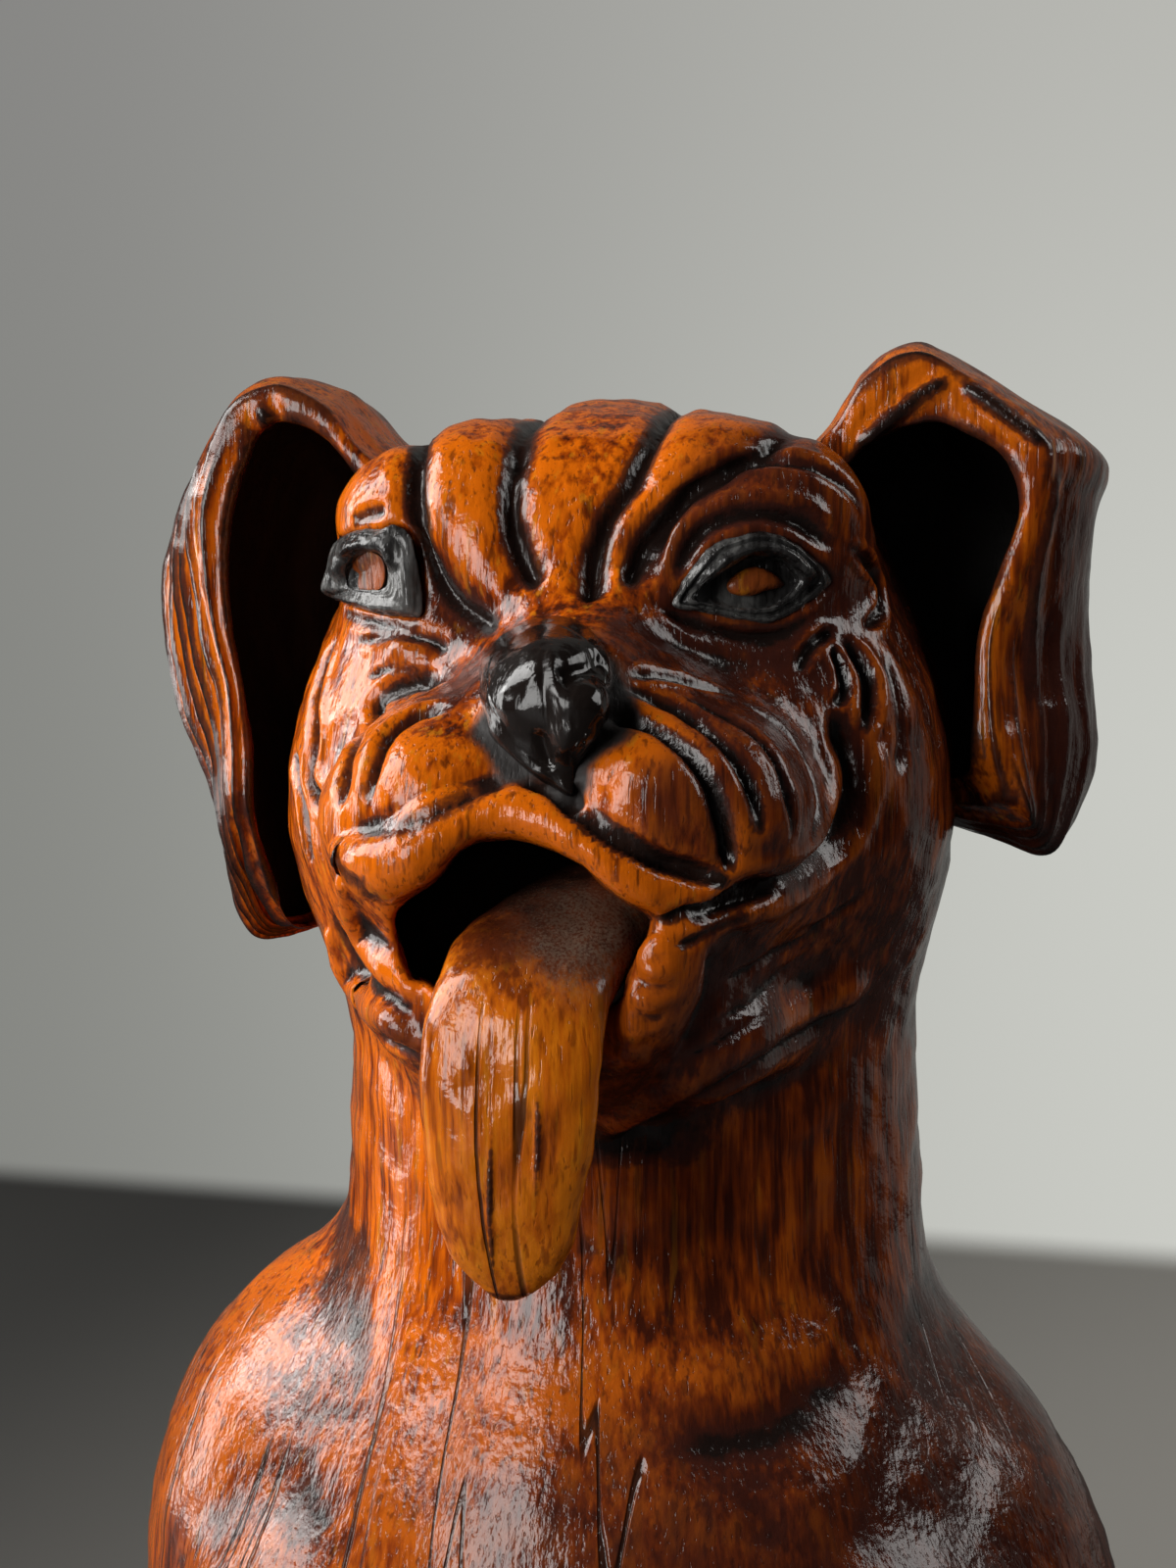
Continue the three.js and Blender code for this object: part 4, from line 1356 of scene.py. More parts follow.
    @staticmethod
    def _forehead(form: Form) -> list[Stroke]:
        """Return the grooves between the forehead's folds, which run on over the crown."""
        strokes = []
        for line in FOREHEAD_GROOVES:
            path = []
            for across, degrees in line:
                angle = math.radians(degrees)
                outward = np.array([0, -math.cos(angle), math.sin(angle)])
                path.append(tuple(form.skin_point(head(across, 0, 0), outward)))
            strokes.append(replace(FOREHEAD_CUT, path=tuple(path)))
        return strokes

    @staticmethod
    def _unevenness(carving: Carving) -> None:
        """Add the gentle facets of a hand-held gouge."""
        fade = smooth(carving.points[:, 2], 0.0, 6.0)
        carving.push(carving.waves((9.0, 1, 0.14), (3.2, 2, 0.07)) * fade)


# The grooves between the forehead's folds, as places across the head and angles over the crown
FOREHEAD_GROOVES = [
    ((-7.1, 1), (-12, 7), (-15.4, 17), (-16.2, 26), (-17, 42), (-18.5, 75), (-19, 105), (-17, 135)),
    ((-3.4, 8), (-5.7, 17), (-6.4, 26), (-6.3, 35), (-7, 60), (-7.6, 95), (-7, 135)),
    ((2, 5), (2.1, 13), (2.9, 21), (5.1, 30), (6.6, 48), (7, 95), (6.5, 135)),
    ((5.3, 8), (7.3, 18), (10.5, 25), (14.2, 30), (18, 38), (20, 70), (20, 105), (18, 135)),
]

# The gouge's cut in each of these grooves
FOREHEAD_CUT = Stroke((), 1.15, 2.1, 0.1, 0.06, 0.5, look=Look.WOOD, stain=0.85)

# The mouth, with its outline in pixels of the photograph
MOUTH = Opening(
    (
        (404, 930), (424, 912), (447, 895), (471, 868), (494, 858), (529, 857), (565, 867),
        (594, 882), (617, 905), (647, 926), (664, 938), (656, 966), (640, 995), (628, 1024),
        (560, 1040), (480, 1030), (437, 1002), (420, 996), (410, 965),
    ),
    tuple(CAMERA.place + CAMERA.axes[2] * MOUTH_DEPTH),
    tuple(-CAMERA.axes[2]),
)

# The lips and the ridges of the jaw, in pixels of the photograph
FACE_ROLLS = [
    Roll(
        (
            (348, 868), (372, 880), (397, 884), (424, 872), (453, 850), (480, 836), (505, 831),
            (529, 831), (560, 840), (590, 858), (620, 880), (650, 899), (680, 908), (715, 909),
            (742, 908),
        ),
        (1.2, 2.7, 3.5, 3.5, 3.0, 2.6, 2.4, 2.4, 2.4, 2.5, 2.6, 2.7, 2.2, 1.6, 0.8),
        0.5,
        0.8,
    ),
    Roll(
        ((352, 903), (362, 930), (380, 958), (400, 985), (420, 1005)),
        (0.8, 1.5, 1.9, 1.8, 1.2), 0.4, 1.0,
    ),
    Roll(
        ((340, 955), (352, 985), (372, 1012), (398, 1038), (430, 1062)),
        (0.8, 1.5, 1.8, 1.6, 0.9), 0.4, 1.0,
    ),
    Roll(
        ((700, 946), (684, 966), (674, 990), (660, 1022), (646, 1056)),
        (1.8, 3.3, 3.9, 3.7, 2.2), 0.9, 2.6,
    ),
    Roll(
        ((640, 1135), (695, 1108), (750, 1078), (805, 1045), (855, 1008)),
        (1.5, 2.6, 3.0, 2.8, 1.6), 1.2, 3.0,
    ),
]

# Swellings of the face, in pixels of the photograph
FACE_PADS = [
    Pad((668, 800), 8.5, 2.0),
    Pad((430, 795), 7.0, 1.2),
    Pad((410, 665), 4.5, 0.9),
    Pad((906, 700), 7.0, 0.8),
    Pad((770, 800), 9.0, 0.8),
    Pad((770, 590), 9.0, 1.0),
    Pad((670, 978), 2.6, 0.7),
    Pad((676, 1004), 2.4, 0.5),
    Pad((656, 1026), 2.4, 0.6),
    Pad((640, 1052), 2.2, 0.5),
]

# The folds of the cheeks and round the eyes
FACE_FOLDS = [
    Stroke(
        ((848, 722), (868, 760), (874, 800), (862, 846), (836, 884), (796, 908), (748, 920), (700, 938)),
        1.2, 2.2, 0.3, 0.12, 0.5, stain=0.65,
    ),
    Stroke(((640, 640), (700, 655), (760, 665), (820, 655)), 2.2, 0.8, 0.2, stain=0.4),
    Stroke(
        ((345, 838), (389, 845), (425, 835), (460, 817), (494, 804), (529, 800)),
        1.1, 0.9, 0.2, 0.3, 0.5, stain=0.35,
    ),
    Stroke(((529, 800), (562, 807), (585, 827), (612, 847)), 0.6, 1.0, 0.2, 0.2),
    Stroke(
        ((585, 826), (612, 846), (640, 863), (670, 878), (711, 890), (748, 904)),
        0.7, 1.4, 0.2, 0.12, 0.4,
    ),
]

# Lines cut into the folds
FACE_LINES = [
    Stroke(
        ((462, 692), (423, 697), (384, 722), (362, 753), (349, 792), (346, 825)),
        0.85, 1.5, 0.2, lean=0.4, stain=0.5,
    ),
    Stroke(((458, 722), (427, 727), (399, 749), (382, 781), (376, 830)), 0.75, 1.4, 0.2, lean=0.4, stain=0.6),
    Stroke(((608, 727), (655, 736), (700, 762), (728, 803), (740, 850), (747, 892)), 0.8, 1.7, 0.2, 0.12),
    Stroke(((632, 700), (690, 722), (740, 760), (767, 803), (778, 862)), 0.65, 1.2, 0.2, lean=0.3),
    Stroke(((690, 705), (752, 737), (792, 777), (806, 815), (809, 858)), 0.55, 1.0, 0.2, lean=0.3),
    Stroke(((752, 712), (792, 738), (824, 779), (836, 818), (828, 862)), 0.6, 1.0, 0.2, lean=0.3, stain=0.8),
    Stroke(((722, 750), (750, 780), (764, 815), (768, 858)), 0.4, 0.4, 0.2, stain=0.5),
    Stroke(((772, 752), (800, 785), (812, 825)), 0.4, 0.4, 0.2, stain=0.5),
    Stroke(((860, 645), (884, 684), (888, 712), (880, 752)), 0.7, 1.5, 0.4),
    Stroke(((846, 655), (858, 680), (862, 705), (850, 722)), 0.5, 0.9, 0.5),
    Stroke(((360, 655), (400, 647), (440, 655), (458, 668)), 0.6, 0.8, 0.3, stain=0.5),
    Stroke(((372, 690), (402, 682), (432, 684)), 0.5, 0.6, 0.2, stain=0.3),
    Stroke(((345, 640), (327, 690), (320, 750), (322, 814), (332, 860)), 0.8, 1.3, 0.3, stain=0.5),
    Stroke(((322, 650), (307, 700), (302, 760), (308, 820), (320, 885)), 0.7, 1.1, 0.3, stain=0.45),
    Stroke(((640, 690), (675, 690), (720, 700), (760, 712)), 0.5, 0.6, 0.4, stain=0.7),
    Stroke(((860, 553), (893, 588), (898, 623), (880, 642)), 0.6, 1.0, 0.5),
    Stroke(((813, 686), (828, 660), (853, 642)), 0.5, 0.9, 0.5),
    Stroke(((900, 660), (915, 700), (920, 750), (915, 800)), 0.8, 0.6, 0.2, stain=0.3),
    Stroke(((336, 868), (352, 896), (378, 918), (404, 926)), 0.6, 1.0, 0.2, stain=0.6),
    Stroke(((338, 926), (352, 960), (376, 997), (406, 1024)), 0.8, 0.8, 0.3, 0.3, stain=0.6),
    Stroke(((334, 985), (352, 1022), (385, 1055), (425, 1075)), 0.6, 0.8, 0.3, stain=0.6),
    Stroke(((664, 938), (700, 932), (740, 922), (765, 912), (800, 905)), 0.7, 1.8, 0.2),
    Stroke(((690, 968), (730, 948), (770, 935)), 0.5, 0.8, 0.2, stain=0.7),
    Stroke(((722, 965), (726, 1000), (714, 1040), (690, 1080)), 1.2, 0.8, 0.3, stain=0.4),
    Stroke(
        ((605, 1172), (650, 1160), (700, 1137), (745, 1110), (790, 1085), (840, 1052), (885, 1020)),
        1.5, 1.5, 0.2, 0.2, stain=0.55,
    ),
    Stroke(((650, 962), (672, 976), (700, 980)), 0.6, 0.5, 0.6, 0.3, stain=0.2),
    Stroke(((646, 1000), (668, 1008), (694, 1006)), 0.6, 0.5, 0.6, 0.3, stain=0.2),
    Stroke(((640, 1030), (660, 1040), (684, 1036)), 0.6, 0.4, 0.6, 0.3, stain=0.2),
    Stroke(((580, 800), (585, 815), (588, 828)), 0.6, 1.4, 0.2),
    Stroke(
        ((648, 612), (680, 540), (714, 495), (760, 474), (810, 470), (857, 490), (885, 540)),
        0.7, 0.9, 0.4, stain=0.5,
    ),
    Stroke(((686, 596), (712, 545), (757, 524), (813, 530), (854, 562)), 0.8, 1.1, 0.4, stain=0.8),
    Stroke(((672, 618), (735, 645), (790, 650), (830, 628)), 0.7, 0.8, 0.4, stain=0.8),
    Stroke(((330, 612), (350, 624), (390, 638), (432, 640)), 0.6, 0.9, 0.3, stain=0.6),
    Stroke(((328, 600), (335, 560), (360, 532), (395, 521)), 0.7, 0.6, 0.4, stain=0.5),
    # Small wrinkles across the upper lip, at the viewer's left
    *(
        Stroke(
            (
                (372 + 13 * step, 850 - 2 * step),
                (370 + 14 * step, 872 - 3 * step),
                (374 + 15 * step, 896 - 6 * step),
            ),
            0.4, 0.22, 0.5, stain=0.25,
        )
        for step in range(6)
    ),
    # Short cuts beside the jaw, at the viewer's right
    *(
        Stroke(((x, y), (x + 45, y - 22), (x + 92, y - 56)), 0.5, 0.5, 0.2, 0.3, stain=0.3)
        for x, y in ((690, 1085), (715, 1050), (745, 1022), (722, 1010), (765, 985), (800, 960))
    ),
]

# Lines on the body, the unseen ones in millimetres
BODY_LINES = [
    Stroke(
        ((895, 1385), (850, 1425), (800, 1462), (757, 1475), (700, 1470), (640, 1452)),
        2.6, 0.8, 0.5, 0.3, stain=0.2,
    ),
    Stroke(((757, 1475), (775, 1530), (800, 1595)), 2.4, 0.6, 0.4, 0.3, stain=0.2),
    *both_sides(
        lambda side: Stroke(
            ((side * 56, -18, 40), (side * 52, -10, 62), (side * 44, 6, 76), (side * 40, 34, 78)),
            2.0, 1.2, 0.5, look=Look.WOOD, stain=0.5,
        )
    ),
    *(
        Stroke(((x, -74, 14), (x, -68, 17), (x * 0.98, -58, 18.5)), 0.9, 1.4, 0.3, look=Look.WOOD)
        for x in (-29, -23.5, -18, 18, 23.5, 29)
    ),
    *(
        Stroke(((x, -40, 14), (x, -34, 17), (x * 0.99, -26, 17.5)), 0.9, 1.2, 0.3, look=Look.WOOD)
        for x in (-50, -45.5, -41, 41, 45.5, 50)
    ),
]

# Black paint at the nose, painted shade on the face, and painted highlights on the jaw's ridge, in pixels of
# the photograph
FACE_TINTS = [
    Tint((565, 720), 7.4, "black_paint_and_shade", 1.0, 0.12),
    Tint((582, 800), 2.2, "black_paint_and_shade", 1.0, 0.3),
    # Painted shade over the dog's left brow and cheek, away from the window, and under its right eye, beside
    # the nose and under the mouth and jaw
    Tint((790, 505), 9.0, "shade", 0.85, 0.5),
    Tint((750, 575), 9.0, "shade", 0.9, 0.35),
    Tint((820, 640), 9.0, "shade", 0.85, 0.5),
    Tint((720, 690), 7.0, "shade", 0.7, 0.5),
    Tint((712, 822), 5.5, "shade", 0.75, 0.5),
    Tint((660, 660), 6.0, "shade", 0.8, 0.5),
    Tint((795, 760), 10.0, "shade", 0.9, 0.45),
    Tint((830, 860), 9.0, "shade", 0.85, 0.5),
    Tint((740, 1020), 11.0, "shade", 0.85, 0.5),
    Tint((650, 1110), 8.0, "shade", 0.8, 0.5),
    Tint((430, 630), 6.0, "shade", 0.6, 0.6),
    Tint((470, 700), 4.0, "shade", 0.7, 0.5),
    Tint((415, 1065), 4.0, "shade", 0.8, 0.5),
    # Painted highlights on the jaw's ridge beside the tongue
    Tint((676, 985), 4.0, "crest", 1.0, 0.6),
    Tint((662, 1032), 3.6, "crest", 1.0, 0.6),
]


# The separate pieces


@dataclass
class Ear:
    """A hood that opens forwards, with ribs down its outer face.

    Each line runs round the ear from the crown, as places out and up from the head's centre.

    Attributes:
        side: LEFT or RIGHT.
        rim: The front edge.
        outline: Where the ear is widest.
        hollow: The edge of the hollow.
        set_back: How far each place of the rim stands behind the front.
        ribs: How many ribs run down between the rim and the widest place.
        rib_height: In millimetres.
        ribbed: Between which shares of the way round the ribs run.
        dark: How dark the painted shade on the ear's lower outer face is, from 0 to 1.
        pale: The heights between which that painted shade fades out towards its top.
        middle: The place that its rings shrink towards.
        front: How far the foremost place of the rim stands before the head's centre.
        widest: How far the widest ring stands behind it.
        back: How far the ear's back stands behind it.
        hollow_back: How far the hollow's bottom stands behind it.
    """

    side: int
    rim: tuple
    outline: tuple
    hollow: tuple
    set_back: tuple
    ribs: float = 5.0
    rib_height: float = 0.55
    ribbed: tuple[float, float] = (0.2, 0.8)
    dark: float = 0.1
    pale: tuple[float, float] = (200.0, 210.0)
    middle: tuple[float, float] = (34, 4)
    front: float = -9.0
    widest: float = 6.0
    back: float = 25.0
    hollow_back: float = 16.0

    def _rings(self) -> Array:
        """Return rings of points from the back of the ear over its rim to the bottom of the hollow."""
        front = self.front + np.array(self.set_back, dtype=float)
        widest = np.maximum(self.widest, front + 4)
        middle = np.array(self.middle)
        lines = (self.rim, self.outline, self.hollow)
        rim, outline, hollow = (np.array(line, dtype=float) for line in lines)

        def ring(line: Array, depths: Array, scale: float) -> Array:
            """Return a closed ring of a line at its depths, shrunk to the ear's middle.

            Args:
                line: Places out and up from the head's centre.
                depths: How far back each lies.
                scale: What the ring is shrunk to.

            Returns:
                The ring's points.
            """
            flat = middle + (line - middle) * scale
            corners = np.column_stack([flat[:, 0] * self.side, depths, flat[:, 1]]) + HEAD
            return closed_curve(tuple(map(tuple, corners)), RING_POINTS)

        rings = [ring(outline, np.full(len(front), self.back), 0.02)]
        shell = ((1, 0.25), (0.98, 0.45), (0.93, 0.62), (0.8, 0.77), (0.6, 0.89), (0.35, 0.97))
        for share, scale in shell:
            rings.append(ring(outline, widest + (self.back - widest) * share, scale))
        side = ((1, 1), (0.85, 0.97), (0.7, 0.9), (0.55, 0.77), (0.4, 0.6), (0.25, 0.37), (0.1, 0.12))
        for depth, share in side:
            rings.append(ring(rim + (outline - rim) * share, front + (widest - front) * depth, 1))
        rings.append(ring(rim, front + 0.1, 0.99))
        rings.append(ring(rim + (hollow - rim) * 0.45, front - 0.25, 1))
        rings.append(ring(rim + (hollow - rim) * 0.9, front + 0.1, 1))
        deep = self.hollow_back - front
        cave = (
            (0.06, 0.02, 1), (0.3, 0.3, 1), (0.55, 0.42, 0.98), (0.8, 0.36, 0.88),
            (0.95, 0.3, 0.7), (1, 0.2, 0.4), (1, 0.2, 0.02),
        )
        for depth, share, scale in cave:
            rings.append(ring(hollow + (outline - hollow) * share, front + deep * depth, scale))
        return np.array(rings)

    def make(self, name: str, finish: Material) -> bpy.types.Object:
        """Carve the ear."""
        carving = Carving(f"{name}_carved", ball_mesh(176, 180))
        share, angle = globe_places(carving.points)
        rings = self._rings()
        steps = np.linalg.norm(np.diff(rings, axis=0), axis=2).mean(axis=1) + 0.6
        stations = np.concatenate([[0], np.cumsum(steps)]) / steps.sum()
        index = np.interp(share, stations, np.arange(len(rings)))
        turn = np.mod(-self.side * angle / (2 * math.pi), 1) * rings.shape[1]
        carving.points = self._on_rings(rings, index, turn)
        outer = smooth(index, 4.5, 7) * (1 - smooth(index, 15.2, 16.2))
        around = turn / rings.shape[1]
        low, high = self.ribbed
        table = (1.12, 1, 0.97, 0.9, 0.77, 0.6, 0.37, 0.12, 0, -0.12, -0.3)
        beside = np.interp(index, np.arange(6, 17), table)
        wave = np.cos(beside * 2 * math.pi * self.ribs + ripple(carving.points, 26.0, 6) * 0.4)
        ribs = (0.5 - 1.5 * np.clip(-wave, 0, 1) ** 2) * outer
        ribs *= smooth(around, low, low + 0.08) * (1 - smooth(around, high - 0.06, high))
        carving.push(carving.waves((8.0, 3, 0.2), (3.2, 4, 0.07)) + ribs * self.rib_height)
        carving.carve(EAR_LINES[name])
        # Stain and painted shade in the troughs between the ribs
        carving.lay("hollow", smooth(-ribs, 0.3, 1.0) * 0.55)
        lower = 1 - smooth(carving.points[:, 2], *self.pale)
        # Painted shade on the ear's lower outer face
        carving.channels["shade"] += self.dark * lower * smooth(beside, -0.1, 0.45)
        carving.darken_hollows_and_wear_crests(0.5, 1.2)
        # The ear's hollow is painted black, standing in for its shade
        carving.lay("black_paint_and_shade", smooth(index, len(rings) - 7.2, len(rings) - 6.3))
        return carving.finish(finish, "ear_and_tail_wood", name)

    @staticmethod
    def _on_rings(rings: Array, index: Array, turn: Array) -> Array:
        """Return points between rings and between the places of each ring.

        Args:
            rings: The rings' points.
            index: Which ring each point is on, with fractions.
            turn: Which place of the ring it is at, with fractions.

        Returns:
            The points.
        """
        count = rings.shape[1]
        low = np.clip(index.astype(int), 0, len(rings) - 2)
        first = turn.astype(int) % count
        aside = (turn - np.floor(turn))[:, None]

        def at(row: Array) -> Array:
            """Return the points of some rings at their turns."""
            row = np.clip(row, 0, len(rings) - 1)
            return rings[row, first] * (1 - aside) + rings[row, (first + 1) % count] * aside

        return between([at(low + step) for step in (-1, 0, 1, 2)], (index - low)[:, None])


LEFT_EAR = Ear(
    LEFT,
    (
        (22, 21.5), (25.6, 26.6), (30.8, 29.4), (36, 26.6), (41.8, 22.6), (44, 19), (43.5, 14.5),
        (41.6, 8), (39.3, 1), (39.4, -6), (40.6, -12), (42, -17.5), (38, -17.6), (32, -16.5),
        (20, -13), (12, 9),
    ),
    (
        (22, 24), (26, 30.5), (31.4, 32.3), (38, 28.4), (45.9, 23.3), (50.2, 19.6), (49, 14.5),
        (48.3, 6), (48.4, -2), (49.3, -9.9), (47.8, -15.5), (44.3, -21.4), (39.5, -20.2),
        (33, -18.2), (20, -14), (11, 9),
    ),
    (
        (23, 17), (26.5, 20.3), (31.8, 22.2), (35.6, 21), (38.9, 19), (40.4, 16.7), (41, 12.9),
        (39.4, 7.6), (37, 1.5), (36.6, -5), (36.3, -9.5), (35.8, -12.6), (33, -13.5), (29, -13.5),
        (19, -10), (14, 8),
    ),
    (0, 0, 0, 0, 0, 0, 0, 0, 0, 0, 0, 2, 6, 8, 6, 0),
    ribs=4.0,
    rib_height=0.3,
    ribbed=(0.45, 0.8),
    dark=0.95,
)
RIGHT_EAR = Ear(
    RIGHT,
    (
        (27.5, 22), (31.5, 26.3), (36.5, 28.5), (41.5, 26), (44.5, 20), (45.6, 14.3), (44.8, 7.7),
        (43.6, 1.1), (42.2, -4.2), (41.8, -10), (41.6, -16.5), (41.2, -23), (40.4, -29.3),
        (35, -27), (24, -20), (14, 5),
    ),
    (
        (27.5, 25.4), (33.5, 30.2), (39.6, 31.2), (44.5, 28.5), (49.4, 19.9), (52.4, 12.9),
        (53.4, 6.8), (52.9, -0.2), (50.9, -7.8), (47.4, -15), (45.4, -24), (44.3, -29.8),
        (42, -31.4), (36, -29.3), (24, -22), (12, 5),
    ),
    (
        (28, 19), (31, 22.5), (34.5, 24.2), (37.6, 23.8), (39.6, 20.5), (41.4, 15.2), (41.9, 9.4),
        (41.4, 3), (40, -3.4), (39.2, -10), (38.8, -17.5), (38.4, -25), (37.6, -30), (32, -27),
        (22, -18), (15, 5),
    ),
    (0, 0, 0, 0, 0, 0, 0, 0, 0, 0, 0, 5, 12, 19, 14, 0),
)

# Lines cut into the ears, in pixels of the photograph
EAR_LINES = {
    "left_ear": [
        Stroke(((868, 462), (905, 430), (940, 403), (972, 386)), 0.6, 1.0, 0.3, stain=0.8),
        Stroke(((978, 390), (1010, 412), (1042, 436), (1070, 456)), 0.6, 1.0, 0.3, stain=0.8),
        Stroke(((1080, 470), (1068, 530), (1055, 590), (1050, 660), (1052, 730)), 0.9, 0.9, 0.2, stain=0.6),
    ],
    "right_ear": [
        Stroke(((262, 415), (270, 425), (280, 445)), 0.7, 0.8, 0.4),
    ],
}


@dataclass
class Tongue:
    """The long tongue, bent over the lip, with checks down its face.

    Attributes:
        line: Its middle line from the root, as places from the head's centre.
        widths: Along the line, in millimetres.
        thicknesses: Along the line, in millimetres.
        tip: The share of its length over which each end is rounded.
        squared: The power that makes its section squarer than an ellipse.
    """

    line: tuple = (
        (4, -22, -26), (2.6, -31, -26.5), (-0.3, -39.5, -29), (-1.7, -44.5, -33.2),
        (-2.3, -45.8, -41), (-2.7, -45, -50), (-2.9, -43.4, -59.0),
    )
    widths: tuple = (13, 14.5, 15.7, 15.8, 15.6, 13.2, 11.4)
    thicknesses: tuple = (10, 10, 8, 6.2, 6.2, 5.8, 4.6)
    tip: float = 0.15
    squared: float = 0.85

    def make(self, finish: Material) -> bpy.types.Object:
        """Carve the tongue."""
        carving = Carving("tongue_carved", ball_mesh(200, 220))
        share, angle = globe_places(carving.points)
        points = np.array([head(*place) for place in self.line])
        place, across, facing = line_frame(points, share, np.array([1.0, 0.0, 0.0]))
        ends = np.clip(np.minimum(share, 1 - share) / self.tip, 0, 1)
        end = np.sin(ends * math.pi / 2) ** 0.6
        width = along_table(self.widths, share) * end
        thickness = along_table(self.thicknesses, share) * end**0.8
        angle = angle + 0.2 * np.sin(2 * angle)
        cosine, sine = np.cos(angle), np.sin(angle)
        wide = np.sign(cosine) * np.abs(cosine) ** self.squared * width / 2
        thick = np.sign(sine) * np.abs(sine) ** self.squared * thickness / 2
        carving.points = place + across * wide[:, None] - facing * thick[:, None]
        carving.push(carving.waves((8.0, 7, 0.18), (3.0, 8, 0.06)))
        carving.carve(TONGUE_LINES)
        carving.tint(TONGUE_TINTS)
        carving.darken_hollows_and_wear_crests()
        return carving.finish(finish, "tongue_wood", "tongue")


# Checks down the tongue, in pixels of the photograph
TONGUE_LINES = [
    Stroke(((503, 1130), (500, 1230), (505, 1312)), 0.24, 0.40, 0.1, 0.3, 0.2, stain=0.8),
    Stroke(((546, 1035), (549, 1150), (544, 1270)), 0.24, 0.35, 0.1, 0.3, 0.2, stain=0.7),
]

# Painted shade near the tongue's root inside the mouth, dark and black, and dust on the tongue, in pixels of
# the photograph
TONGUE_TINTS = [
    Tint((560, 900), 9.0, "shade", 1.0, 0.4),
    Tint((590, 940), 7.0, "shade", 1.0, 0.5),
    Tint((520, 950), 4.5, "shade", 0.8, 0.6),
    Tint((610, 945), 6.0, "dust", 0.75, 0.6),
    Tint((560, 905), 5.0, "dust", 0.35, 0.6),
    Tint((548, 880), 5.0, "black_paint_and_shade", 0.9, 0.6),
    Tint((520, 905), 4.5, "black_paint_and_shade", 0.7, 0.6),
]


@dataclass
class Nose:
    """The black nose: a ball at the viewer's left, a wing at the right and a point at the lip.

    Attributes:
        outline: Pixels of the photograph.
        middle: The pixel over which it stands highest.
        height: How far it stands out there, in millimetres.
        back: How far behind the face its edge lies, in millimetres.
        evened: How often the depths of its edge are evened out.
        lower: The rows of pixels between which it grows flatter.
    """

    outline: tuple = (
        (627, 690), (622, 712), (606, 735), (594, 758), (590, 785), (584, 811), (568, 806),
        (548, 794), (528, 776), (508, 752), (494, 728), (489, 698), (494, 670), (512, 648),
        (538, 633), (566, 628), (594, 636), (616, 657),
    )
    middle: tuple = (548, 694)
    height: float = 5.6
    back: float = 0.5
    evened: int = 40
    lower: tuple = (715, 800)

    def make(self, form: Form, finish: Material) -> bpy.types.Object:
        """Carve the nose.

        Args:
            form: The form that carries it.
            finish: Its material.

        Returns:
            The finished object.
        """
        carving = Carving("nose_carved", ball_mesh(120, 110))
        share, angle = globe_places(carving.points)
        curve = closed_curve(self.outline, NOSE_POINTS)
        index = np.mod(angle / (2 * math.pi) * NOSE_POINTS, NOSE_POINTS)
        low = index.astype(int) % NOSE_POINTS
        following = curve[(low + 1) % NOSE_POINTS]
        edge = curve[low] + (following - curve[low]) * (index - np.floor(index))[:, None]
        out = np.sin(share * math.pi)
        pixels = np.array(self.middle) + (edge - np.array(self.middle)) * out[:, None]
        rays = np.array([CAMERA.ray(tuple(pixel)) for pixel in pixels])
        outward = -CAMERA.axes[2]
        depths = (CAMERA.place - form.seen_points(np.vstack([[self.middle], curve]))) @ outward
        middle, ring = depths[0], depths[1:]
        for _ in range(self.evened):
            ring = (np.roll(ring, 1) + ring + np.roll(ring, -1)) / 3
        depth = middle + (ring[low] - middle) * out**2 + self.back
        flat = CAMERA.place - rays * (depth / (rays @ outward))[:, None]
        lower = smooth(pixels[:, 1], *self.lower)
        height = np.cos(share * math.pi)
        proud = height**0.9 * self.height * (1 - 0.5 * lower)
        height = np.where(height > 0, proud, height * 5)
        carving.points = flat + outward * height[:, None]
        carving.carve(
            [
                Stroke(
                    ((562, 655), (564, 680), (567, 708), (571, 740), (577, 768)),
                    0.8, 0.7, 0.0, 0.3, round=1.4,
                ),
                Stroke(((496, 732), (514, 757), (540, 780), (566, 798)), 0.8, 0.5, 0.3),
                Stroke(((570, 697), (592, 686), (616, 672)), 0.9, -0.7, 0.0, 0.1, 0.0),
                Stroke(((548, 742), (556, 765), (562, 788)), 0.9, -0.5, 0.0, 0.3, 0.0),
            ],
            [Pad((528, 700), 5.5, 0.5), Pad((594, 722), 3.4, -2.4), Pad((583, 756), 2.6, -1.6)],
        )
        carving.push(carving.waves((4.0, 9, 0.07), (1.5, 10, 0.015)))
        carving.channels["black_paint_and_shade"] += 1.0
        return carving.finish(finish, "black_wood", "nose")


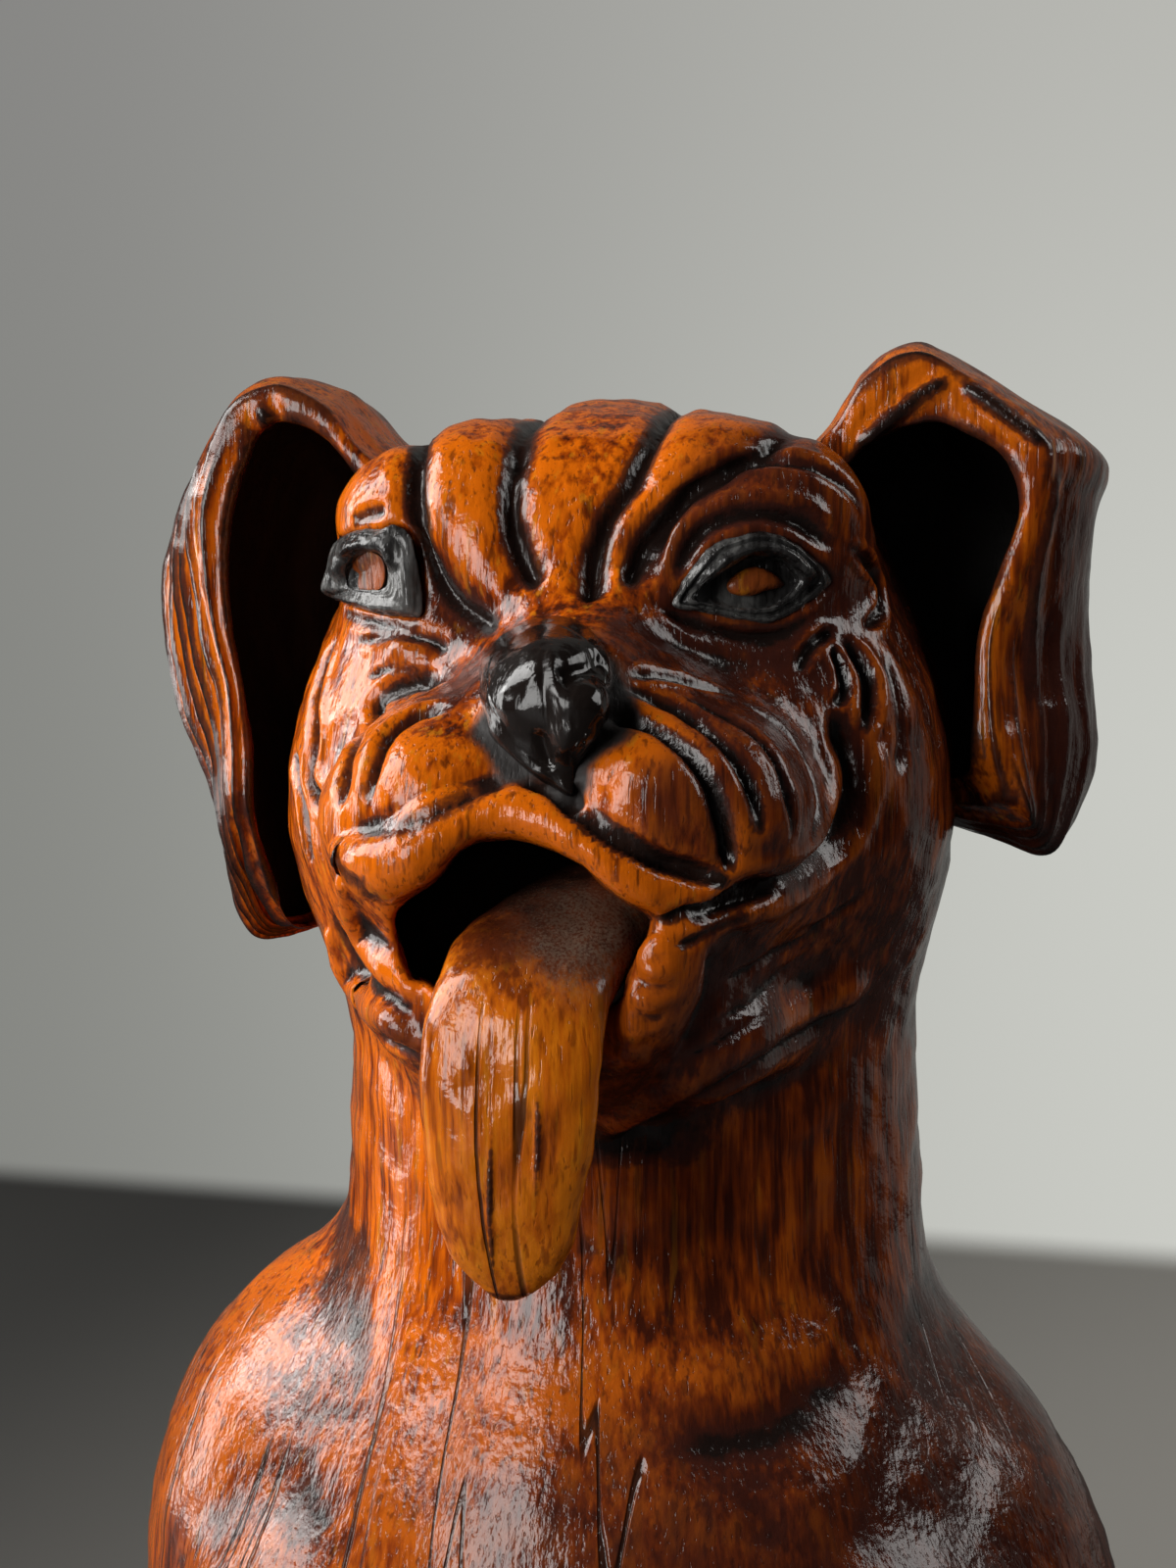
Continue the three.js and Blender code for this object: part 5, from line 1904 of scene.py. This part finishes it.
@dataclass
class Eye:
    """An inlaid eye: a black rim round an opening, and the brown iris in it.

    Attributes:
        name: The CAD node it stands for.
        rim: The rim's outline in pixels of the photograph.
        opening: The opening's outline, with as many places as the rim's.
        profile: Heights from the opening's edge to the rim's edge, in millimetres.
        iris: The iris's outline.
        lid: How much higher the upper lid stands, in millimetres.
        lean: How much the rim faces upwards, as a rise across it in millimetres.
        dome: How far the iris bulges, in millimetres.
        floor: The depth of the opening.
        seat: How deep the eye is let into the face.
    """

    name: str
    rim: tuple
    opening: tuple
    iris: tuple
    profile: tuple
    lid: float = 0.0
    lean: float = 0.0
    dome: float = 0.9
    floor: float = -1.5
    seat: float = 3.0

    def outward(self, form: Form) -> Array:
        """Return the direction that the eye faces."""
        facing = form.facing(form.seen_points(np.array(self.rim, dtype=float))).mean(axis=0)
        facing -= CAMERA.axes[2] * 0.25
        return facing / np.linalg.norm(facing)

    def socket(self, form: Form) -> Opening:
        """Return the hollow that the eye is let into."""
        rim = np.array(self.rim, dtype=float)
        middle = rim.mean(axis=0)
        outward = self.outward(form)
        floor = form.seen_points(middle[None])[0] - outward * self.seat
        outline = tuple(map(tuple, middle + (rim - middle) * 0.93))
        return Opening(outline, tuple(floor), tuple(outward), 0.6)

    def make(self, form: Form, black: Material, brown: Material) -> None:
        """Carve the rim and the iris.

        Args:
            form: The form that carries it.
            black: The rim's material.
            brown: The iris's material.
        """
        outward = self.outward(form)
        edge = form.seen_points(closed_curve(self.rim, EYE_POINTS))
        hole = form.seen_points(closed_curve(self.opening, EYE_POINTS))
        rim = Carving(f"{self.name}_carved", ball_mesh(EYE_POINTS, 110))
        share, turn = self._turns(rim)
        self._shape(rim, share, edge[turn], hole[turn], outward)
        rim.push(rim.waves((2.2, 11, 0.07), (0.9, 12, 0.03)))
        rim.channels["black_paint_and_shade"] += 0.35
        rim.finish(black, "black_wood", self.name)

        iris = Carving(f"{self.name}_iris_carved", ball_mesh(EYE_POINTS, 32))
        disc = form.seen_points(closed_curve(self.iris, EYE_POINTS))
        share, turn = self._turns(iris)
        middle = disc.mean(axis=0)
        spread = np.sin(share * math.pi)[:, None]
        level = (hole.mean(axis=0) - middle) @ outward + self.floor
        bulge = np.cos(share * math.pi)
        height = level + np.where(bulge > 0, bulge * self.dome, bulge) + 0.2
        iris.points = middle + (disc[turn] - middle) * spread + height[:, None] * outward
        iris.finish(brown, "iris_wood", f"{self.name}_iris")

    @staticmethod
    def _turns(carving: Carving) -> tuple[Array, Array]:
        """Return each point's share of the way from the front pole, and its place round the outline."""
        share, angle = globe_places(carving.points)
        turn = np.round(np.mod(angle / (2 * math.pi), 1) * EYE_POINTS)
        return share, turn.astype(int) % EYE_POINTS

    def _shape(
        self, rim: Carving, share: Array, outer: Array, inner: Array, outward: Array
    ) -> None:
        """Shape a ball into the rim, between its edge and its hole.

        Args:
            rim: The ball.
            share: Each point's share of the way from the front pole.
            outer: Its place on the rim's edge.
            inner: Its place on the opening's edge.
            outward: The direction that the eye faces.
        """
        middle = inner.mean(axis=0)
        floor_share, wall_share, edge_share = 0.12, 0.22, 0.75
        across = np.clip((share - wall_share) / (edge_share - wall_share), 0, 1)[:, None]
        spread = np.clip(share / floor_share, 0, 1)[:, None]
        within = middle + (inner - middle) * spread
        flat = np.where((share < wall_share)[:, None], within, inner + (outer - inner) * across)
        level = (flat - middle) @ outward
        behind = np.clip((share - edge_share) / (1 - edge_share), 0, 1)
        flat = flat + (outer.mean(axis=0) - flat) * (behind**1.5)[:, None]
        ridge = np.interp(across[:, 0], np.linspace(0, 1, len(self.profile)), self.profile)
        wall = smooth(share, floor_share, wall_share)
        height = (self.floor - level) * (1 - wall) + ridge * wall
        above = smooth(outer[:, 2] - middle[2], -0.5, 2.0)
        arch = np.sin(across[:, 0] * math.pi)
        height += self.lid * above * arch * wall
        height += self.lean * (1 - 2 * above) * (across[:, 0] - 0.5) * arch * wall
        height = np.where(behind > 0, self.profile[-1] - (self.seat - 0.4) * behind, height)
        rim.points = flat + height[:, None] * outward


# The eyes, in pixels of the photograph
EYES = [
    Eye(
        "left_eye",
        (
            (848, 590), (838, 604), (822, 618), (796, 634), (776, 636), (743, 631), (714, 624),
            (686, 619), (694, 598), (709, 576), (724, 556), (743, 548), (762, 543), (780, 541),
            (800, 547), (822, 561),
        ),
        (
            (815, 592), (808, 604), (798, 613), (783, 619), (768, 621), (747, 620), (728, 616),
            (706, 611), (718, 598), (731, 588), (744, 579), (758, 572), (770, 568), (782, 567),
            (796, 570), (808, 578),
        ),
        ((804, 596), (786, 602), (768, 607), (750, 604), (746, 594), (758, 582), (776, 577), (794, 584)),
        (0.2, 0.7, 0.6, 0.2, 0.0, 0.4, 0.3, 0.0),
        lid=0.9,
        lean=0.8,
    ),
    Eye(
        "right_eye",
        (
            (430, 600), (429, 628), (408, 629), (390, 627), (369, 621), (350, 614), (331, 605),
            (333, 585), (336, 566), (344, 551), (358, 543), (374, 539), (390, 539), (402, 535),
            (416, 544), (424, 568),
        ),
        (
            (399, 588), (397, 599), (390, 602), (382, 602), (374, 602), (366, 601), (358, 599),
            (356, 590), (356, 581), (359, 573), (364, 567), (372, 564), (380, 563), (388, 565),
            (395, 571), (398, 579),
        ),
        ((390, 585), (386, 600), (371, 603), (353, 600), (349, 584), (354, 568), (371, 562), (386, 569)),
        (0.4, 0.85, 1.0, 1.0, 0.95, 0.9, 0.8, 0.55, 0.0),
        lid=0.2,
        lean=1.6,
        dome=0.15,
        floor=-0.8,
    ),
]


@dataclass
class Tail:
    """The tail, curled up beside the spine.

    Attributes:
        line: Its middle line from the seat, as places to the dog's left and up.
        radii: Along the line, in millimetres.
        seat_height: Of the seat above the base.
        stand_off: How far the line stands behind the seat.
        stub: How far it is let into the log.
    """

    line: tuple = ((0, 0), (2, 4), (8, 6), (15, 11), (18, 23), (13, 34), (5, 37))
    radii: tuple = (7.5, 7.5, 7.2, 6.8, 6.4, 5.6, 4.4, 2.6)
    seat_height: float = 17.0
    stand_off: float = -0.5
    stub: float = 8.0

    def make(self, form: Form, finish: Material) -> bpy.types.Object:
        """Carve the tail."""
        backwards = np.array([0.0, 1.0, 0.0])
        seat = form.skin_point(np.array([0.0, 0.0, self.seat_height]), backwards)
        steps = [seat + np.array([side, self.stand_off, up]) for side, up in self.line]
        points = np.vstack([seat + np.array([0.0, -self.stub, 0.0]), steps])
        carving = Carving("tail_carved", ball_mesh(48, 90))
        share, angle = globe_places(carving.points)
        place, across, facing = line_frame(points, share, np.array([0.15, 1.0, 0.2]))
        radius = along_table(self.radii, share) * np.sin(np.clip(share, 0, 1) * math.pi) ** 0.35
        turned = angle + share * 5
        radius = radius * (1 + 0.05 * np.cos(turned * 4))
        wide, thick = (np.cos(angle) * radius)[:, None], (np.sin(angle) * radius)[:, None]
        carving.points = place + across * wide - facing * thick
        carving.darken_hollows_and_wear_crests(1.2, 1.2)
        return carving.finish(finish, "ear_and_tail_wood", "tail")


# The studio


@dataclass
class Studio:
    """A grey table and wall, a high window at the left, and three dim ones.

    Attributes:
        table_end: How far behind the dog the table ends, in metres.
        table_size: The table's width and depth in metres, with some to spare past its end.
        wall_back: How far behind the dog the wall stands, in metres.
        wall_size: The wall's width and height in metres.
        table_colour: The table's colour where it is brightest.
        table_shade: Its colour at the viewer's left, darkened with painted shade.
        wall_low: The wall's colours at its left and right, low down.
        wall_high: The same, high up.
        aim: The place that the lamps face, in metres.
        softness: Over how many metres the table's far edge runs out, to each side.
        mirrored: How brightly the wall shows in reflections, from 0 to 1.
        room: The colour of the room behind everything.
        windows: The lamps' names, places and sizes in metres, and powers in watts.
    """

    table_end: float = 0.60
    table_size: tuple[float, float] = (4.0, 3.2)
    wall_back: float = 0.78
    wall_size: tuple[float, float] = (4.0, 3.0)
    table_colour: Colour = (0.36, 0.345, 0.315)
    table_shade: Colour = (0.030, 0.029, 0.027)
    wall_low: tuple = ((0.235, 0.238, 0.222), (0.604, 0.611, 0.571))
    wall_high: tuple = ((0.240, 0.238, 0.230), (0.480, 0.480, 0.450))
    aim: Point = (0.0, -0.01, 0.14)
    softness: float = 0.03
    mirrored: float = 0.35
    room: Colour = (0.62, 0.63, 0.65)
    windows: tuple = (
        ("window", (-0.82, -0.16, 0.70), (0.80, 0.55), 11.5),
        ("front_window", (-0.48, -0.74, 0.30), (0.38, 0.50), 4.8),
        ("side_window", (-0.90, 0.12, 0.26), (0.22, 0.50), 2.2),
        ("far_window", (0.70, 0.08, 0.64), (0.40, 0.50), 2.6),
    )

    def make(self) -> None:
        """Build the stage and the lights."""
        self._wall()
        self._table()
        for window in self.windows:
            self._lamp(*window)
        world = bpy.data.worlds.new("room")
        bpy.context.scene.world = world
        shader = Shader(world)
        seen = shader.value(shader.node("ShaderNodeLightPath"), "Is Camera Ray")
        inputs = {"Color": (*self.room, 1.0), "Strength": seen * 0.68 + 0.02}
        shader.output(shader.node("ShaderNodeBackground", None, inputs), "World")

    def _lamp(self, name: str, place: tuple, size: tuple, power: float) -> None:
        """Add an area light that faces the dog's head.

        Args:
            name: Its name.
            place: Where it stands, in metres.
            size: Its width and height in metres.
            power: In watts.
        """
        data = bpy.data.lights.new(name, "AREA")
        data.shape = "RECTANGLE"
        data.size, data.size_y = size
        data.energy = power
        data.color = (1.0, 0.99, 0.97)
        lamp = link(name, data)
        lamp.location = place
        ahead = Vector(self.aim) - Vector(place)
        lamp.rotation_euler = ahead.to_track_quat("-Z", "Y").to_euler()

    def _plane(self, name: str, place: Matrix, size: tuple[float, float]) -> bpy.types.Object:
        """Add a flat stage piece."""
        shape = bmesh.new()
        spread = place @ Matrix.Diagonal((*size, 1.0, 1.0))
        bmesh.ops.create_grid(shape, x_segments=1, y_segments=1, size=0.5, matrix=spread)
        plane = link(name, mesh_from(name, shape))
        return plane

    def _wall(self) -> None:
        """Add the wall: a glowing backdrop with painted light, darker at the viewer's left and brighter low
        down at the right.
        """
        upright = Matrix.Translation((0, self.wall_back, 0.4)) @ Matrix.Rotation(math.pi / 2, 4, "X")
        wall = self._plane("wall", upright, self.wall_size)
        material, shader = new_material("wall paint")
        where = shader.metres()
        across = shader.value(where, "X").step(-0.52, 0.20)
        up = shader.value(where, "Z").step(0.14, 0.60)
        low = shader.mix(across, *self.wall_low)
        high = shader.mix(across, *self.wall_high)
        rays = shader.node("ShaderNodeLightPath")
        mirrored = shader.value(rays, "Is Glossy Ray") * self.mirrored
        inputs = {
            "Color": shader.mix(up, low, high),
            "Strength": (shader.value(rays, "Is Camera Ray") + mirrored).clamp(),
        }
        shader.output(shader.node("ShaderNodeEmission", None, inputs))
        wall.data.materials.append(material)

    def _table(self) -> None:
        """Add the table, darkened with painted shade towards the viewer's left, whose far edge runs out
        softly.
        """
        table = self._plane("table", Matrix.Translation((0, -0.9, 0)), self.table_size)
        material, shader = new_material("table top")
        where = shader.metres()
        across = shader.value(where, "X")
        depth = shader.value(where, "Y") + across * 0.16
        shade = shader.mix(across.step(-0.30, 0.25), self.table_shade, self.table_colour)
        seen = shader.value(shader.node("ShaderNodeLightPath"), "Is Camera Ray")
        shade = shader.mix(seen, (0.03, 0.03, 0.03), shade)
        paint = shader.node("ShaderNodeBsdfPrincipled", None, {"Base Color": shade, "Roughness": 0.6})
        clear = shader.node("ShaderNodeBsdfTransparent")
        beyond = depth.step(self.table_end - self.softness, self.table_end + self.softness)
        inputs = {0: beyond, 1: paint.outputs[0], 2: clear.outputs[0]}
        shader.output(shader.node("ShaderNodeMixShader", None, inputs))
        table.data.materials.append(material)


def dress_dowels(finish: Material) -> None:
    """Give the hidden dowels their bare wood."""
    for node, thing in frame["nodes"].items():
        if "dowel" in node:
            thing.data.materials.clear()
            thing.data.materials.append(finish)


def main() -> None:
    """Build the studio and the dog."""
    logging.basicConfig(level=logging.INFO, format="%(name)s: %(message)s")
    bpy.context.scene.view_settings.view_transform = "Standard"
    CAMERA.make()
    Studio().make()

    body_wood = LacqueredWood(
        "stained log", (0.060, 0.010, 0.003), (0.31, 0.047, 0.002), (0.68, 0.135, 0.003)
    ).make()
    ear_wood = LacqueredWood(
        "stained ears", (0.050, 0.010, 0.004), (0.26, 0.042, 0.003), (0.58, 0.12, 0.004),
        pith=(0.0, 60.0),
    ).make()
    tongue_wood = LacqueredWood(
        "ochre tongue", (0.20, 0.035, 0.003), (0.52, 0.11, 0.004), (0.68, 0.18, 0.006),
        pith=(0.0, 20.0), checked=(158.0, 146.0),
    ).make()
    # Grey: pale flecks on the nose, and the painted sheen on the eyes' black rims
    grey = (0.14, 0.14, 0.135)
    black_wood = LacqueredWood(
        "black stain", (0.010, 0.008, 0.007), (0.014, 0.011, 0.010), (0.030, 0.022, 0.016),
        gloss=0.12, wrinkle=0.4, cave=0.0, fleck=grey,
    ).make()
    # The eyes' rims: black with a grey painted sheen that stands in for the window's reflection
    black_with_painted_sheen = LacqueredWood(
        "black with painted sheen", (0.006, 0.006, 0.006), (0.035, 0.035, 0.035), grey,
        gloss=0.20, wrinkle=1.3, cave=0.0, fleck=grey, maroon=(0.012, 0.012, 0.012),
    ).make()
    iris_wood = LacqueredWood(
        "iris", (0.06, 0.014, 0.005), (0.18, 0.038, 0.008), (0.32, 0.07, 0.012), gloss=0.3
    ).make()

    carver = Log()
    form = carver.form()
    carver.make(form, EYES, body_wood)
    LEFT_EAR.make("left_ear", ear_wood)
    RIGHT_EAR.make("right_ear", ear_wood)
    Tongue().make(tongue_wood)
    Nose().make(form, black_wood)
    for eye in EYES:
        eye.make(form, black_with_painted_sheen, iris_wood)
    Tail().make(form, ear_wood)
    dress_dowels(BareWood().make())


if __name__ == "__main__":
    main()
